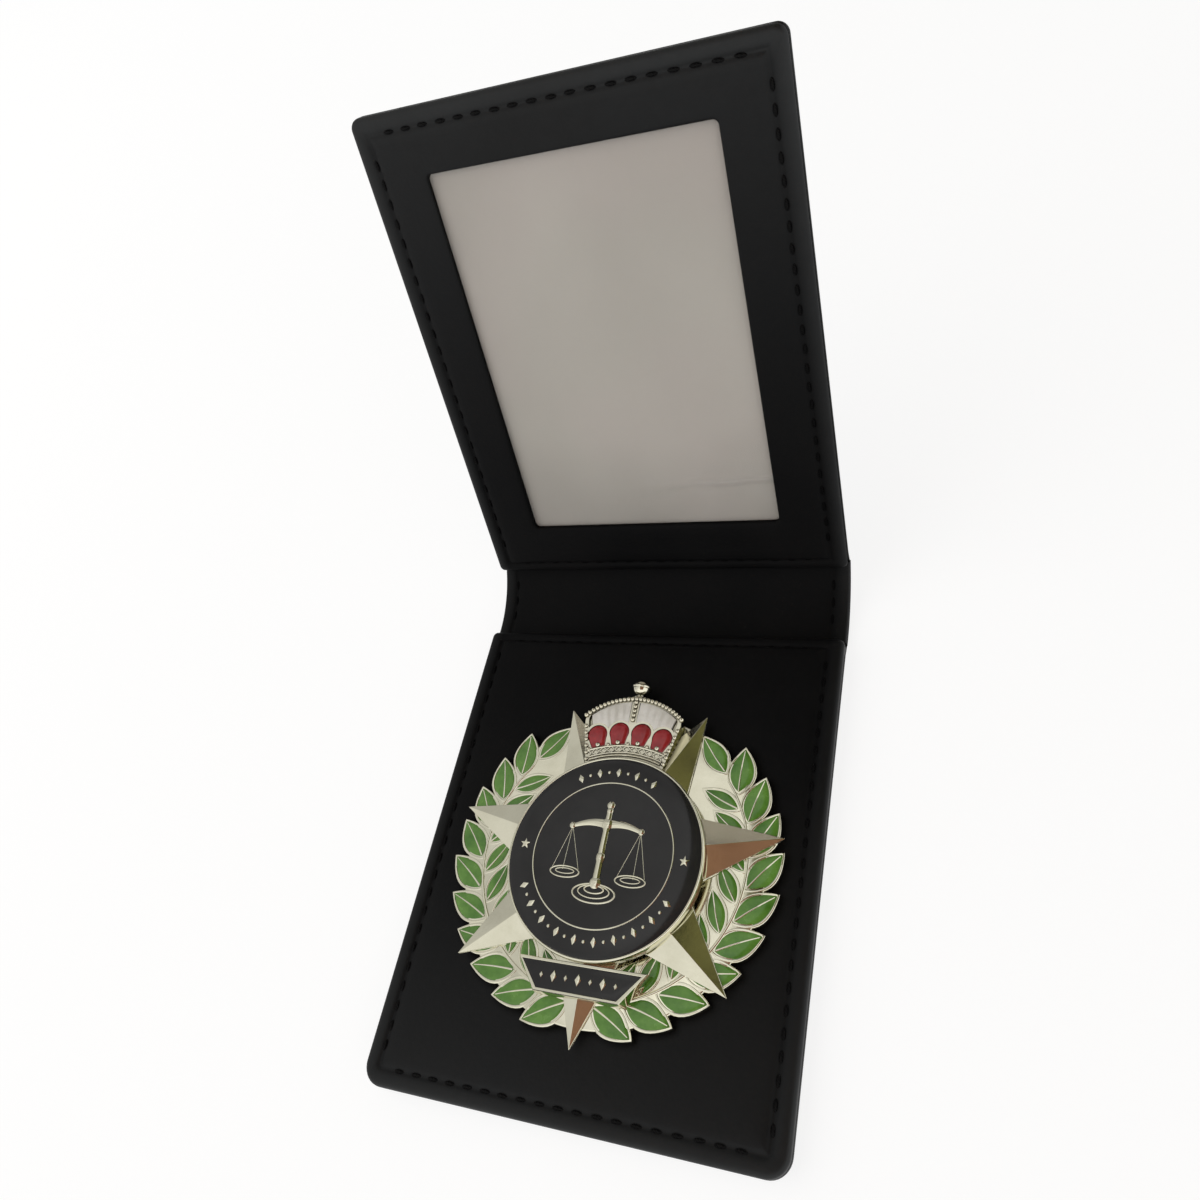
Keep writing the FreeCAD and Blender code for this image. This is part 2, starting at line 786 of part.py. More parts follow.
def disc_blank():
    """Medallion before its relief: a turned dish with a raised ring line, and two pegs below."""
    body = new_body("disc_blank")
    line_in = "(sizes.ring_radius - sizes.ring_line / 2)"
    line_out = "(sizes.ring_radius + sizes.ring_line / 2)"
    enamel_top = "(%s + sizes.enamel_depth)" % RECESS_FLOOR
    sketch = new_sketch(body, "XZ_Plane", "0")
    outline(sketch, [
        ("0", DISC_FLOOR),
        ("sizes.disc_radius", DISC_FLOOR),
        ("sizes.disc_radius", "%s - sizes.bezel_round" % DISC_TOP),
        ("sizes.disc_radius - sizes.bezel_round", DISC_TOP),
        (RECESS_RADIUS, DISC_TOP),
        (RECESS_RADIUS, RECESS_FLOOR),
        (line_out, RECESS_FLOOR),
        (line_out, enamel_top),
        (line_in, enamel_top),
        (line_in, RECESS_FLOOR),
        ("0", RECESS_FLOOR),
    ])
    turned = body.newObject("PartDesign::Revolution", "disc_turned")
    turned.Profile = sketch
    turned.ReferenceAxis = (sketch, ["V_Axis"])
    doc.recompute()
    pegs = [("-sizes.peg_spacing / 2", "0"), ("sizes.peg_spacing / 2", "0")]
    pad(body, "sizes.peg_floor", "%s - sizes.peg_floor" % DISC_FLOOR,
        rings=[(place, "sizes.peg_radius") for place in pegs])
    return body


def strut(start, end, width, low, high):
    """A flat bar of a given width between two points."""
    along = (end - start).normalize()
    across = Vector(-along.y, along.x, 0) * (width / 2)
    return prism([start + across, start - across, end - across, end + across], low, high)


def balance_relief():
    """A plain pair of scales in low relief: column, sagging beam, two hung pans and a stepped foot."""
    low = number(RECESS_FLOOR)
    high = low + size("enamel_depth")
    foot_top = -size("column_foot")
    beam_y = size("beam_height")
    half_span = size("beam_span") / 2
    width = size("beam_width")
    foot = Vector(0, foot_top, 0)
    head = Vector(0, size("column_top"), 0)
    pieces = [strut(foot, head, size("column_width"), low, high)]
    for height in (beam_y, size("column_top")):
        pieces.append(Part.makeCylinder(size("knob_radius"), high - low, Vector(0, height, low)))
    step_share = 0.62
    for width_share, level in ((step_share, 0), (1, 1)):
        half_foot = size("foot_width") / 2 * width_share
        top = foot_top - level * size("foot_height")
        bottom = top - size("foot_height")
        half_top = half_foot * step_share
        corners = ((-half_foot, bottom), (half_foot, bottom), (half_top, top), (-half_top, top))
        pieces.append(prism([Vector(x, y, 0) for x, y in corners], low, high))
    for side in (-1, 1):
        end = Vector(side * half_span, beam_y - size("beam_sag"), 0)
        pieces.append(strut(Vector(0, beam_y, 0), end, width, low, high))
        pieces.append(Part.makeCylinder(width * step_share, high - low, end + Vector(0, 0, low)))
        rim = end - Vector(0, size("pan_drop"), 0)
        reach = Vector(size("pan_radius"), 0, 0)
        bowl_edges = [Part.LineSegment(rim - reach, rim + reach).toShape()]
        dip = rim - Vector(0, size("pan_radius") * step_share, 0)
        bowl_edges.append(Part.Arc(rim + reach, dip, rim - reach).toShape())
        bowl = Part.Face(Part.Wire(bowl_edges))
        bowl.translate(Vector(0, 0, low))
        pieces.append(bowl.extrude(Vector(0, 0, high - low)))
        for lean in (-1, 1):
            hook = rim + reach * (lean * (1 - size("hanger_width") / size("pan_radius")))
            pieces.append(strut(end, hook, size("hanger_width"), low, high))
    return shaped("balance_relief", pieces[0].multiFuse(pieces[1:]).removeSplitter())


def disc_pieces():
    """The medallion with its relief, the enamel round the relief, and the clear dome."""
    blank = disc_blank()
    relief = balance_relief()
    body = doc.addObject("Part::Fuse", "disc_body")
    body.Base = blank
    body.Tool = relief
    body.Refine = True

    field = doc.addObject("Part::Cylinder", "enamel_field")
    field.setExpression("Radius", RECESS_RADIUS)
    field.setExpression("Height", "sizes.enamel_depth")
    field.setExpression("Placement.Base.z", RECESS_FLOOR)
    band = doc.addObject("Part::Cut", "enamel_band")
    band.Base = field
    band.Tool = blank
    enamel = doc.addObject("Part::Cut", "disc_enamel")
    enamel.Base = band
    enamel.Tool = relief

    dome = new_body("disc_dome")
    reach = "(%s - sizes.dome_fit)" % RECESS_RADIUS
    dome_floor = "(%s + sizes.enamel_depth)" % RECESS_FLOOR
    crown_shares = ((0, 0), (1, 0), (1, 0.3), (0.9, 0.7), (0.6, 1), (0, 1))
    profile = [("%s * %g" % (reach, out), "%s + sizes.dome_rise * %g" % (dome_floor, up))
               for out, up in crown_shares]
    sketch = new_sketch(dome, "XZ_Plane", "0")
    outline(sketch, profile)
    turned = dome.newObject("PartDesign::Revolution", "dome_turned")
    turned.Profile = sketch
    turned.ReferenceAxis = (sketch, ["V_Axis"])
    doc.recompute()
    return body, enamel, dome


def at_badge(shape):
    """A badge shape without its place on the panel."""
    local = shape.copy()
    local.Placement = FreeCAD.Placement()
    return local


def petal_angles():
    count = int(size("petal_count"))
    return [QUARTER_TURN + size("petal_step_angle") * (i - (count - 1) / 2) for i in range(count)]


def petal(angle, grow, low, high):
    """A round-headed panel of the crest over its band, grown by a border."""
    band_top = size("disc_radius") + size("disc_fit") + size("crest_band")
    centre = polar(size("petal_orbit"), angle)
    radius = size("petal_radius") + grow
    side = polar(radius, angle + QUARTER_TURN)
    foot = polar(band_top + size("petal_border") - grow, angle)
    toe = polar(size("petal_foot") + grow, angle + QUARTER_TURN)
    head = Part.makeCylinder(radius, high - low, centre + Vector(0, 0, low))
    stem = prism([foot - toe, centre - side, centre + side, foot + toe], low, high)
    return head.fuse(stem).removeSplitter()


def crest_blank(border, low, high):
    """The crest's outline: sides that flare from the foot and one round arch, drawn in by a border."""
    seat = size("disc_radius") + size("disc_fit")
    foot = size("crest_foot_width") / 2
    foot_y = math.sqrt(seat ** 2 - foot ** 2) - size("overrun")
    shoulder = size("crest_width") / 2 - border
    shoulder_y = size("crest_shoulder")
    corners = [Vector(x, y, low) for x, y in (
        (border - foot, foot_y), (foot - border, foot_y), (shoulder, shoulder_y), (-shoulder, shoulder_y))]
    edges = [Part.LineSegment(corners[i], corners[i + 1]).toShape() for i in (0, 1)]
    edges.append(Part.Arc(corners[2], Vector(0, size("crest_top") - border, low), corners[3]).toShape())
    edges.append(Part.LineSegment(corners[3], corners[0]).toShape())
    solid = Part.Face(Part.Wire(edges)).extrude(Vector(0, 0, high - low))
    upright = [edge for edge in solid.Edges
               if all(abs(abs(v.X) - shoulder) + abs(v.Y - shoulder_y) < TOLERANCE for v in edge.Vertexes)
               and abs(edge.Vertexes[0].X - edge.Vertexes[-1].X) < TOLERANCE]
    return solid.makeFillet(size("crest_shoulder_round") - border, upright)


def cap_fields(low, high):
    """The arched field over the panels, in two halves beside the middle rib."""
    field = crest_blank(size("crest_rim"), low, high)
    rib = size("crest_rib")
    cuts = [petal(angle, size("petal_border"), low, high) for angle in petal_angles()]
    cuts.append(Part.makeCylinder(size("petal_orbit"), high - low, Vector(0, 0, low)))
    cuts.append(Part.makeBox(rib, size("crest_top"), high - low, Vector(-rib / 2, 0, low)))
    return field.cut(cuts[0].multiFuse(cuts[1:]))


def crest(star_shape):
    """Generic crest: a band, round-headed panels, an arched cap over them and a ball finial on a collar."""
    low = size("plate_thick")
    high = low + size("crest_thick")
    middle = (low + high) / 2
    seat = size("disc_radius") + size("disc_fit")
    top = size("crest_top")
    up = Vector(0, 1, 0)
    blank = crest_blank(0, low, high).cut(Part.makeCylinder(seat, high - low, Vector(0, 0, low)))
    collar_foot = Vector(0, top - size("collar_thick") / 2, middle)
    finial = Vector(0, size("finial_height"), middle)
    stem_length = size("finial_height") - top
    peg_foot = Vector(0, size("crest_peg_height"), size("peg_floor"))
    pieces = [
        Part.makeCylinder(size("collar_radius"), size("collar_thick"), collar_foot, up),
        Part.makeCylinder(size("finial_stem_radius"), stem_length, Vector(0, top, middle), up),
        Part.makeSphere(size("finial_radius"), finial, up),
        Part.makeCylinder(size("crest_peg_radius"), middle - size("peg_floor"), peg_foot),
    ]
    whole = blank.multiFuse(pieces).removeSplitter()
    floor = high - size("cell_depth")
    over = high + size("overrun")
    cells = [petal(angle, 0, floor, over) for angle in petal_angles()] + cap_fields(floor, over).Solids
    return shaped("crest", whole.cut(Part.makeCompound(cells)).cut(star_shape))


def crest_fills():
    """Enamel of the crest's panels and of its cap."""
    high = size("plate_thick") + size("crest_thick")
    floor = high - size("cell_depth")
    top = high - size("enamel_sink")
    panels = [petal(angle, 0, floor, top) for angle in petal_angles()]
    crest_enamel = shaped("crest_enamel", Part.makeCompound(panels))
    cap_enamel = shaped("cap_enamel", Part.makeCompound(cap_fields(floor, top).Solids))
    return crest_enamel, cap_enamel


def bar_outline(border):
    """The bar's tapered outline below the medallion, drawn in by a border."""
    top = -size("disc_radius") - size("disc_fit") - border
    bottom = -size("disc_radius") - size("disc_fit") - size("bar_height") + border
    half_top = size("bar_top_width") / 2 - border
    half_bottom = size("bar_bottom_width") / 2 - border
    corners = ((-half_bottom, bottom), (half_bottom, bottom), (half_top, top), (-half_top, top))
    return [Vector(x, y, 0) for x, y in corners]


def name_bar(star_shape):
    low = size("plate_thick")
    high = low + size("bar_thick")
    floor = high - size("bar_cell_depth")
    bar = prism(bar_outline(0), low, high)
    cell = prism(bar_outline(size("bar_border")), floor, high + size("overrun"))
    return shaped("name_bar", bar.cut(cell).cut(star_shape))


def bar_enamel():
    high = size("plate_thick") + size("bar_thick")
    floor = high - size("bar_cell_depth")
    return shaped("bar_enamel", prism(bar_outline(size("bar_border")), floor, high - size("enamel_sink")))


def post_parts(label, make):
    """A group of two fixings, one at each badge post."""
    parts = [make("%s_%d" % (label, i), side) for i, side in enumerate(("-", "+"), start=1)]
    group = doc.addObject("Part::Compound", label)
    group.Links = parts
    doc.recompute()
    return group


CLAMP_FLOOR = "-(sizes.face_leather + sizes.base_pad_thick)"
WASHER_FLOOR = "(%s - sizes.washer_thick)" % CLAMP_FLOOR
NUT_FLOOR = "(%s - sizes.nut_thick)" % WASHER_FLOOR


def upright_round(name, side, radius, floor, height):
    post = doc.addObject("Part::Cylinder", name)
    post.setExpression("Radius", radius)
    post.setExpression("Height", height)
    bind_place(post, "%s %s" % (side, POST_REACH), "0", floor)
    return post


def bored(name, side, blank, floor, thick):
    bore = upright_round(name + "_bore", side, "sizes.post_radius + sizes.post_fit",
                         "%s - sizes.overrun" % floor, "%s + 2 * sizes.overrun" % thick)
    part = doc.addObject("Part::Cut", name)
    part.Base = blank
    part.Tool = bore
    return part


def make_post(name, side):
    return upright_round(name, side, "sizes.post_radius", NUT_FLOOR, "-(%s)" % NUT_FLOOR)


def make_washer(name, side):
    blank = upright_round(name + "_blank", side, "sizes.washer_radius", WASHER_FLOOR, "sizes.washer_thick")
    return bored(name, side, blank, WASHER_FLOOR, "sizes.washer_thick")


def make_nut(name, side):
    blank = doc.addObject("Part::Prism", name + "_blank")
    blank.Polygon = 6
    blank.setExpression("Circumradius", "sizes.nut_radius")
    blank.setExpression("Height", "sizes.nut_thick")
    bind_place(blank, "%s %s" % (side, POST_REACH), "0", NUT_FLOOR)
    return bored(name, side, blank, NUT_FLOOR, "sizes.nut_thick")


def build():
    """Make every sub-part and put it in its place. Returns the sub-parts."""
    base_board = panel_board(BASE)
    room = "sizes.washer_radius + sizes.washer_room"
    pocket(base_board, face_floor(BASE), BASE["board"] + " + sizes.overrun",
           rings=[(place, room) for place in post_places()])
    base_face = panel_face(BASE)
    bore = "sizes.post_radius + sizes.post_fit"
    pocket(base_face, face_top(BASE), "sizes.face_leather + sizes.overrun",
           rings=[(place, bore) for place in post_places()])
    base = [panel_cover(BASE), base_board, base_pad(), base_face, panel_stitching(BASE, (-1, 1))]
    for piece in base:
        place_base(piece)

    spine = [spine_cover(), spine_lining(), spine_stitching()]
    for piece in spine:
        place_spine(piece)

    lid_face = panel_face(LID)
    side, low, high = window_frame()
    opening = rectangle("-" + side, side, low, high)
    pocket(lid_face, face_top(LID), "sizes.face_leather + sizes.overrun", [opening])
    corners = upright_edges(lid_face, side, low) + upright_edges(lid_face, side, high)
    round_edges(lid_face, corners, "sizes.window_corner_radius")
    lid = [panel_cover(LID), panel_board(LID), lid_face, window_film(), panel_stitching(LID, (-1,)),
           insert_card()]
    for piece in lid:
        place_lid(piece)

    star_body = star()
    star_shape = at_badge(star_body.Shape)
    badge = [wreath_plate(), wreath_enamel(), star_body, *disc_pieces(), crest(star_shape), *crest_fills(),
             name_bar(star_shape), bar_enamel(), post_parts("badge_posts", make_post),
             post_parts("post_washers", make_washer), post_parts("post_nuts", make_nut)]
    for piece in badge:
        place_badge(piece)
    doc.recompute()
    return base + spine + lid + badge


def export(pieces):
    """Write each sub-part once every object has been found sound."""
    for item in doc.Objects:
        if "Invalid" in item.State or "Error" in item.State:
            raise RuntimeError("%s did not build" % item.Label)
    for piece in pieces:
        if piece.Shape.isNull() or not piece.Shape.isValid() or not piece.Shape.Solids:
            raise RuntimeError("%s has no sound shape" % piece.Label)
    os.makedirs("parts", exist_ok=True)
    for piece in pieces:
        piece.Shape.exportStep("parts/%s.step" % piece.Label)
        print("%-16s %3d solids %10.2f mm3" % (piece.Label, len(piece.Shape.Solids), piece.Shape.Volume))


export(build())
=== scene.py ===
from math import asin, cos, exp, hypot, pi, radians, sin, sqrt

import bmesh
import bpy
from mathutils import Matrix, Vector, noise


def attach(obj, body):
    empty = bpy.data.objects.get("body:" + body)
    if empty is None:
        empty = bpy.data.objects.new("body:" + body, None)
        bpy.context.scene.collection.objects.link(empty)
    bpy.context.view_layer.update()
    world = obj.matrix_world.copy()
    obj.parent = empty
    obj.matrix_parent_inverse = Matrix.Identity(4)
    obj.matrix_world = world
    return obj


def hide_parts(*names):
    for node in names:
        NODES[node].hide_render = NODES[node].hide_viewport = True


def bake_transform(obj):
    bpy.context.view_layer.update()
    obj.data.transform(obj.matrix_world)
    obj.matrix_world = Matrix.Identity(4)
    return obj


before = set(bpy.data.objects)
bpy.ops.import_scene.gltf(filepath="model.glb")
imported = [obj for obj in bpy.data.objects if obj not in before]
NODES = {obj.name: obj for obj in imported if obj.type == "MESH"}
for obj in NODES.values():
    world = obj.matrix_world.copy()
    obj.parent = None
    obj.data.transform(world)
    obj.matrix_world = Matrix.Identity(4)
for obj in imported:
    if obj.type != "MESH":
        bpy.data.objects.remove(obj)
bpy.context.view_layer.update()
MM = 0.001

# Places, in millimetres, as in the CAD model
HALF_WIDTH = 40.0
BASE_LENGTH = 96.0
LID_LENGTH = 98.5
BASE_CORNER = 4.0
LID_CORNER = 2.0
HINGE_CORNER = 1.2
LEAST_CORNER = 0.25
BASE_TOP = 4.6
LID_TOP = 4.3
SETBACK = 1.8
SEAM = 3.2
HINGE_SEAM = 2.4
PITCH = 3.6
CREASE_LEVEL = 0.55
CREASE_A = Vector((0, 49.8, CREASE_LEVEL))
SPINE_WIDTH = 15.5
SPINE_BOW = 1.3
SPINE_REST = radians(20)
LID_TILT = radians(67)
CREASE_B = CREASE_A + SPINE_WIDTH * Vector((0, cos(SPINE_REST), sin(SPINE_REST)))
BADGE = Vector((0.8, -2.1, BASE_TOP))
WINDOW_HALF = 27.5
WINDOW_BORDER = 11.45


def panel_matrix(origin, along, up):
    """A panel's own frame: x across, y away from the crease, z out of its face."""
    rows = [[1, 0, 0, origin.x], [0, along.y, up.y, origin.y], [0, along.z, up.z, origin.z], [0, 0, 0, 1]]
    return Matrix(rows)


LID_ALONG = Vector((0, cos(LID_TILT), sin(LID_TILT)))
LID_UP = Vector((0, -sin(LID_TILT), cos(LID_TILT)))
BASE_PLACE = panel_matrix(Vector((0, BASE_LENGTH / 2, 0)), Vector((0, -1, 0)), Vector((0, 0, 1)))
LID_PLACE = panel_matrix(CREASE_B + SETBACK * LID_ALONG - CREASE_LEVEL * LID_UP, LID_ALONG, LID_UP)
BADGE_PLACE = Matrix.Translation(BADGE)


# Node materials

FOLD_MIDDLE = (0, 0.056, 0.004)
FOLD_NEAR = 0.012
FOLD_FAR = 0.1
MIX_A, MIX_B, MIX_RESULT = 6, 7, 2  # colour sockets of a mix node


class Nodes:
    """A node tree with short ways to add to it. A value is a socket, or a plain number or colour."""

    def __init__(self, tree):
        self.tree = tree

    def join(self, value, socket):
        if isinstance(value, bpy.types.NodeSocket):
            self.tree.links.new(value, socket)
        else:
            socket.default_value = value

    def add(self, kind, *values, **named):
        """A new node. Values go to its inputs in turn, named ones to the input or setting of that name."""
        made = self.tree.nodes.new("ShaderNode" + kind)
        for key, value in named.items():
            if key in made.inputs:
                self.join(value, made.inputs[key])
            else:
                setattr(made, key, value)
        for value, socket in zip(values, made.inputs):
            self.join(value, socket)
        return made

    def here(self):
        """The piece's own coordinates, in metres."""
        return self.add("TexCoord").outputs["Object"]

    def axis(self, name):
        """One of the piece's own coordinates, X, Y or Z."""
        return self.add("SeparateXYZ", self.here()).outputs[name]

    def from_fold(self):
        """Distance from the middle of the spine, in metres, whatever the place across the wallet."""
        flat = self.add("VectorMath", self.here(), (0, 1, 1), operation="MULTIPLY")
        away = self.add("VectorMath", flat.outputs["Vector"], FOLD_MIDDLE, operation="DISTANCE")
        return away.outputs["Value"]

    def spots(self, scale, detail=4.0, stretch=None, rough=0.5):
        """Noise over the piece's own coordinates, in features of about 1/scale metres."""
        source = self.here()
        if stretch:
            source = self.add("Mapping", source, Scale=stretch).outputs["Vector"]
        return self.add("TexNoise", source, Scale=scale, Detail=detail, Roughness=rough).outputs["Fac"]

    def openness(self, reach):
        """1 on open faces, less in hollows narrower than a reach in metres."""
        return self.add("AmbientOcclusion", Distance=reach, samples=4).outputs["AO"]

    def ramp(self, value, low, high, low_colour, high_colour):
        """A colour that goes from one to another as the value goes from low to high."""
        made = self.add("ValToRGB", value)
        for element, place, colour in zip(made.color_ramp.elements, (low, high), (low_colour, high_colour)):
            element.position = place
            element.color = (*colour, 1)
        return made.outputs["Color"]

    def tinted(self, colour, tint):
        """One colour multiplied by another."""
        made = self.add("Mix", data_type="RGBA", blend_type="MULTIPLY", Factor=1.0)
        self.join(colour, made.inputs[MIX_A])
        self.join(tint, made.inputs[MIX_B])
        return made.outputs[MIX_RESULT]

    def spread(self, value, low, high, from_low=0.3, from_high=0.7):
        """A number that goes from low to high as the value crosses its own range, and stays there."""
        return self.add("MapRange", value, from_low, from_high, low, high).outputs["Result"]

    def calc(self, operation, *values):
        return self.add("Math", *values, operation=operation).outputs["Value"]

    def total(self, first, second, share):
        """The first value plus a share of the second."""
        return self.calc("MULTIPLY_ADD", second, share, first)


class Paint(Nodes):
    """A principled material."""

    def __init__(self, name, colour, roughness, metallic=0.0, **inputs):
        self.made = bpy.data.materials.new(name)
        self.made.use_nodes = True
        super().__init__(self.made.node_tree)
        self.shader = self.tree.nodes["Principled BSDF"]
        self.feed(Base_Color=(*colour, 1), Roughness=roughness, Metallic=metallic, **inputs)

    def feed(self, **inputs):
        for key, value in inputs.items():
            self.join(value, self.shader.inputs[key.replace("_", " ")])

    def bump(self, height, strength, distance):
        made = self.add("Bump", Strength=strength, Distance=distance, Height=height)
        self.feed(Normal=made.outputs["Normal"])


def leather():
    paint = Paint("black_leather", (0.0045, 0.0045, 0.0048), 0.5, Specular_IOR_Level=0.17,
                  Specular_Tint=(0.94, 0.98, 1.0, 1.0))
    tone = paint.spots(45, 3)
    paint.feed(Base_Color=paint.ramp(tone, 0.3, 0.7, (0.0034, 0.0034, 0.0037), (0.0058, 0.0057, 0.0059)))
    grain = paint.add("TexVoronoi", paint.here(), feature="SMOOTH_F1", Scale=1500)
    creases = paint.spots(420, 6, rough=0.65)
    paint.feed(Roughness=paint.spread(paint.total(tone, creases, 0.5), 0.42, 0.6, 0.45, 1.0))
    height = paint.total(grain.outputs["Distance"], creases, 0.9)
    paint.bump(paint.total(height, paint.spots(70, 2), 2.2), 0.26, 0.0001)
    # painted light: the sheen is painted weaker towards the fold as painted shade there, with painted
    # highlights along the turned edges, and painted shade in the seams
    away = paint.from_fold()
    share = paint.spread(away, 0.0, 1.0, FOLD_NEAR, FOLD_FAR)
    painted_fold_sheen = paint.spread(paint.calc("MULTIPLY", share, share), 0.045, 0.22, 0.0, 1.0)
    # painted highlights along the turned side and end edges
    painted_side_highlight = paint.spread(paint.calc("ABSOLUTE", paint.axis("X")), 0.0, 1.0, 0.0372, 0.0398)
    painted_end_highlight = paint.spread(away, 0.0, 1.0, 0.1, 0.1045)
    painted_sheen = paint.total(painted_fold_sheen, paint.calc("MAXIMUM", painted_side_highlight, painted_end_highlight), 0.16)
    # painted shade: the sheen is cut back in hollows narrower than 1.4 mm, such as seams and stitch holes
    free = paint.spread(paint.openness(0.0014), 0.08, 1.0, 0.5, 0.9)
    paint.feed(Specular_IOR_Level=paint.calc("MULTIPLY", painted_sheen, free))
    return paint.made


def twisted_thread():
    paint = Paint("black_thread", (0.003, 0.003, 0.0031), 0.6, Specular_IOR_Level=0.06)
    wave = paint.add("TexWave", paint.here(), wave_type="BANDS", bands_direction="DIAGONAL", Scale=1100,
                     Distortion=1.2)
    twist = wave.outputs["Fac"]
    # painted shade: the thread's sheen is painted weaker towards the fold, as on the leather
    paint.feed(Base_Color=paint.ramp(twist, 0.2, 0.9, (0.0016, 0.0016, 0.0018), (0.0045, 0.0045, 0.0046)),
               Specular_IOR_Level=paint.spread(paint.from_fold(), 0.02, 0.1, FOLD_NEAR, FOLD_FAR))
    paint.bump(twist, 0.5, 0.00008)
    return paint.made


def plated_metal(name, pale, deep, roughness, hollow=0.0):
    """Plated metal with a slight haze, and painted shade that darkens hollows narrower than the length
    given.
    """
    paint = Paint(name, pale, roughness, 1.0)
    haze = paint.spots(120, 5, rough=0.6)
    colour = paint.ramp(haze, 0.25, 0.6, deep, pale)
    if hollow:
        # painted shade: the colour is darkened where the surface is hemmed in
        painted_hollow_shade = paint.ramp(paint.openness(hollow), 0.4, 0.95, (0.1, 0.09, 0.07), (1.0, 1.0, 1.0))
        colour = paint.tinted(colour, painted_hollow_shade)
    fine = paint.spots(1400, 3)
    dull = paint.spread(paint.total(haze, fine, 0.4), roughness * 0.75, roughness * 1.5, 0.45, 0.95)
    paint.feed(Base_Color=colour, Roughness=dull)
    paint.bump(paint.total(fine, haze, 2.0), 0.06, 0.00006)
    return paint.made


def enamel(name, low, high, roughness=0.22, coat=0.4, cloud=260, gloss=0.3):
    paint = Paint(name, high, roughness, Coat_Weight=coat, Coat_Roughness=0.06, Specular_IOR_Level=gloss)
    tone = paint.spots(cloud, 4, rough=0.6)
    paint.feed(Base_Color=paint.ramp(tone, 0.32, 0.66, low, high),
               Roughness=paint.spread(tone, roughness * 0.8, roughness * 1.3))
    paint.bump(paint.spots(320, 2), 0.08, 0.0001)
    return paint.made


def clear_film():
    clear, creased = 0.24, 0.36
    paint = Paint("clear_film", (0.6, 0.585, 0.56), 0.14, Alpha=clear, Specular_IOR_Level=0.5)
    haze = paint.spots(34, 4, (1, 0.5, 0.5))
    paint.feed(Base_Color=paint.ramp(haze, 0.3, 0.7, (0.53, 0.505, 0.475), (0.69, 0.665, 0.63)),
               Roughness=paint.spread(haze, 0.1, 0.22))
    # a thin, wavering crease across the lower right, which catches the light
    level = paint.total(paint.axis("Z"), paint.spots(55, 1), 0.006)
    off = paint.calc("ABSOLUTE", paint.spread(level, -1.0, 1.0, 0.0293, 0.0313))
    reach = paint.spread(paint.axis("X"), 0.0, 1.0, -0.002, 0.016)
    crease = paint.calc("MULTIPLY", paint.spread(off, 1.0, 0.0, 0.05, 1.0), reach)
    paint.feed(Alpha=paint.spread(crease, clear, creased, 0.0, 1.0))
    paint.bump(paint.total(paint.spots(26, 2), crease, 0.25), 0.4, 0.0011)
    return paint.made


def pale_card():
    """Pale card, with painted shade that darkens it towards the fold, and a slight cast of colour that
    comes and goes.
    """
    paint = Paint("pale_card", (0.5, 0.475, 0.44), 0.75, Specular_IOR_Level=0.25)
    fibre = paint.spots(900, 5, rough=0.7)
    # painted shade: the card is painted darker towards the fold
    away = paint.spread(paint.from_fold(), -0.15, 0.6, FOLD_NEAR, 0.048)
    tone = paint.total(paint.total(away, paint.spots(19, 4), 0.8), fibre, 0.12)
    paper_with_painted_shade = paint.ramp(tone, 0.25, 1.0, (0.31, 0.285, 0.255), (0.72, 0.675, 0.635))
    cast = paint.ramp(paint.spots(26, 1), 0.36, 0.62, (1.0, 0.97, 0.975), (0.955, 0.985, 0.955))
    paint.feed(Base_Color=paint.tinted(paper_with_painted_shade, cast), Roughness=paint.spread(fibre, 0.68, 0.85))
    paint.bump(fibre, 0.06, 0.00008)
    return paint.made


def grey_board():
    paint = Paint("grey_board", (0.3, 0.26, 0.2), 0.85)
    fibre = paint.spots(700, 6, (1, 1, 4), 0.7)
    paint.feed(Base_Color=paint.ramp(fibre, 0.3, 0.7, (0.24, 0.2, 0.155), (0.38, 0.335, 0.27)))
    paint.bump(fibre, 0.3, 0.0001)
    return paint.made


LEATHER = leather()
THREAD = twisted_thread()
SILVER = plated_metal("plated_metal", (0.71, 0.69, 0.555), (0.6, 0.58, 0.45), 0.095)
# the crest's metal has painted shade in hollows narrower than 0.9 mm
CREST_SILVER = plated_metal("crest_metal", (0.73, 0.7, 0.57), (0.6, 0.575, 0.45), 0.095, 0.0009)
BRASS = plated_metal("brass_fixings", (0.72, 0.53, 0.25), (0.5, 0.35, 0.15), 0.3)
GREEN = enamel("green_enamel", (0.06, 0.185, 0.018), (0.13, 0.30, 0.045))
BLACK = enamel("black_enamel", (0.0165, 0.0165, 0.0172), (0.024, 0.024, 0.0247), 0.12, 0.24, 90, 0.17)
RED = enamel("red_enamel", (0.25, 0.008, 0.012), (0.37, 0.022, 0.027), 0.2, 0.5, 420)
WHITE = enamel("white_enamel", (0.66, 0.64, 0.58), (0.8, 0.785, 0.74), 0.25, 0.5, 300)
FILM = clear_film()
CARD = pale_card()
BOARD = grey_board()


# Mesh helpers

def added(name, data):
    """A new object in the scene."""
    made = bpy.data.objects.new(name, data)
    bpy.context.scene.collection.objects.link(made)
    return made


def add_mesh(name, points, faces, paint, place=Matrix.Identity(4), smooth=False, angle=None):
    """A piece from points in millimetres in a place's own frame."""
    mesh = bpy.data.meshes.new(name)
    mesh.from_pydata([tuple((place @ Vector(p)) * MM) for p in points], [], faces)
    built = bmesh.new()
    built.from_mesh(mesh)
    bmesh.ops.remove_doubles(built, verts=built.verts, dist=1e-8)
    bmesh.ops.recalc_face_normals(built, faces=built.faces)
    built.to_mesh(mesh)
    built.free()
    mesh.materials.append(paint)
    for polygon in mesh.polygons:
        polygon.use_smooth = smooth
    if angle:
        mesh.set_sharp_from_angle(angle=radians(angle))
    return added(name, mesh)


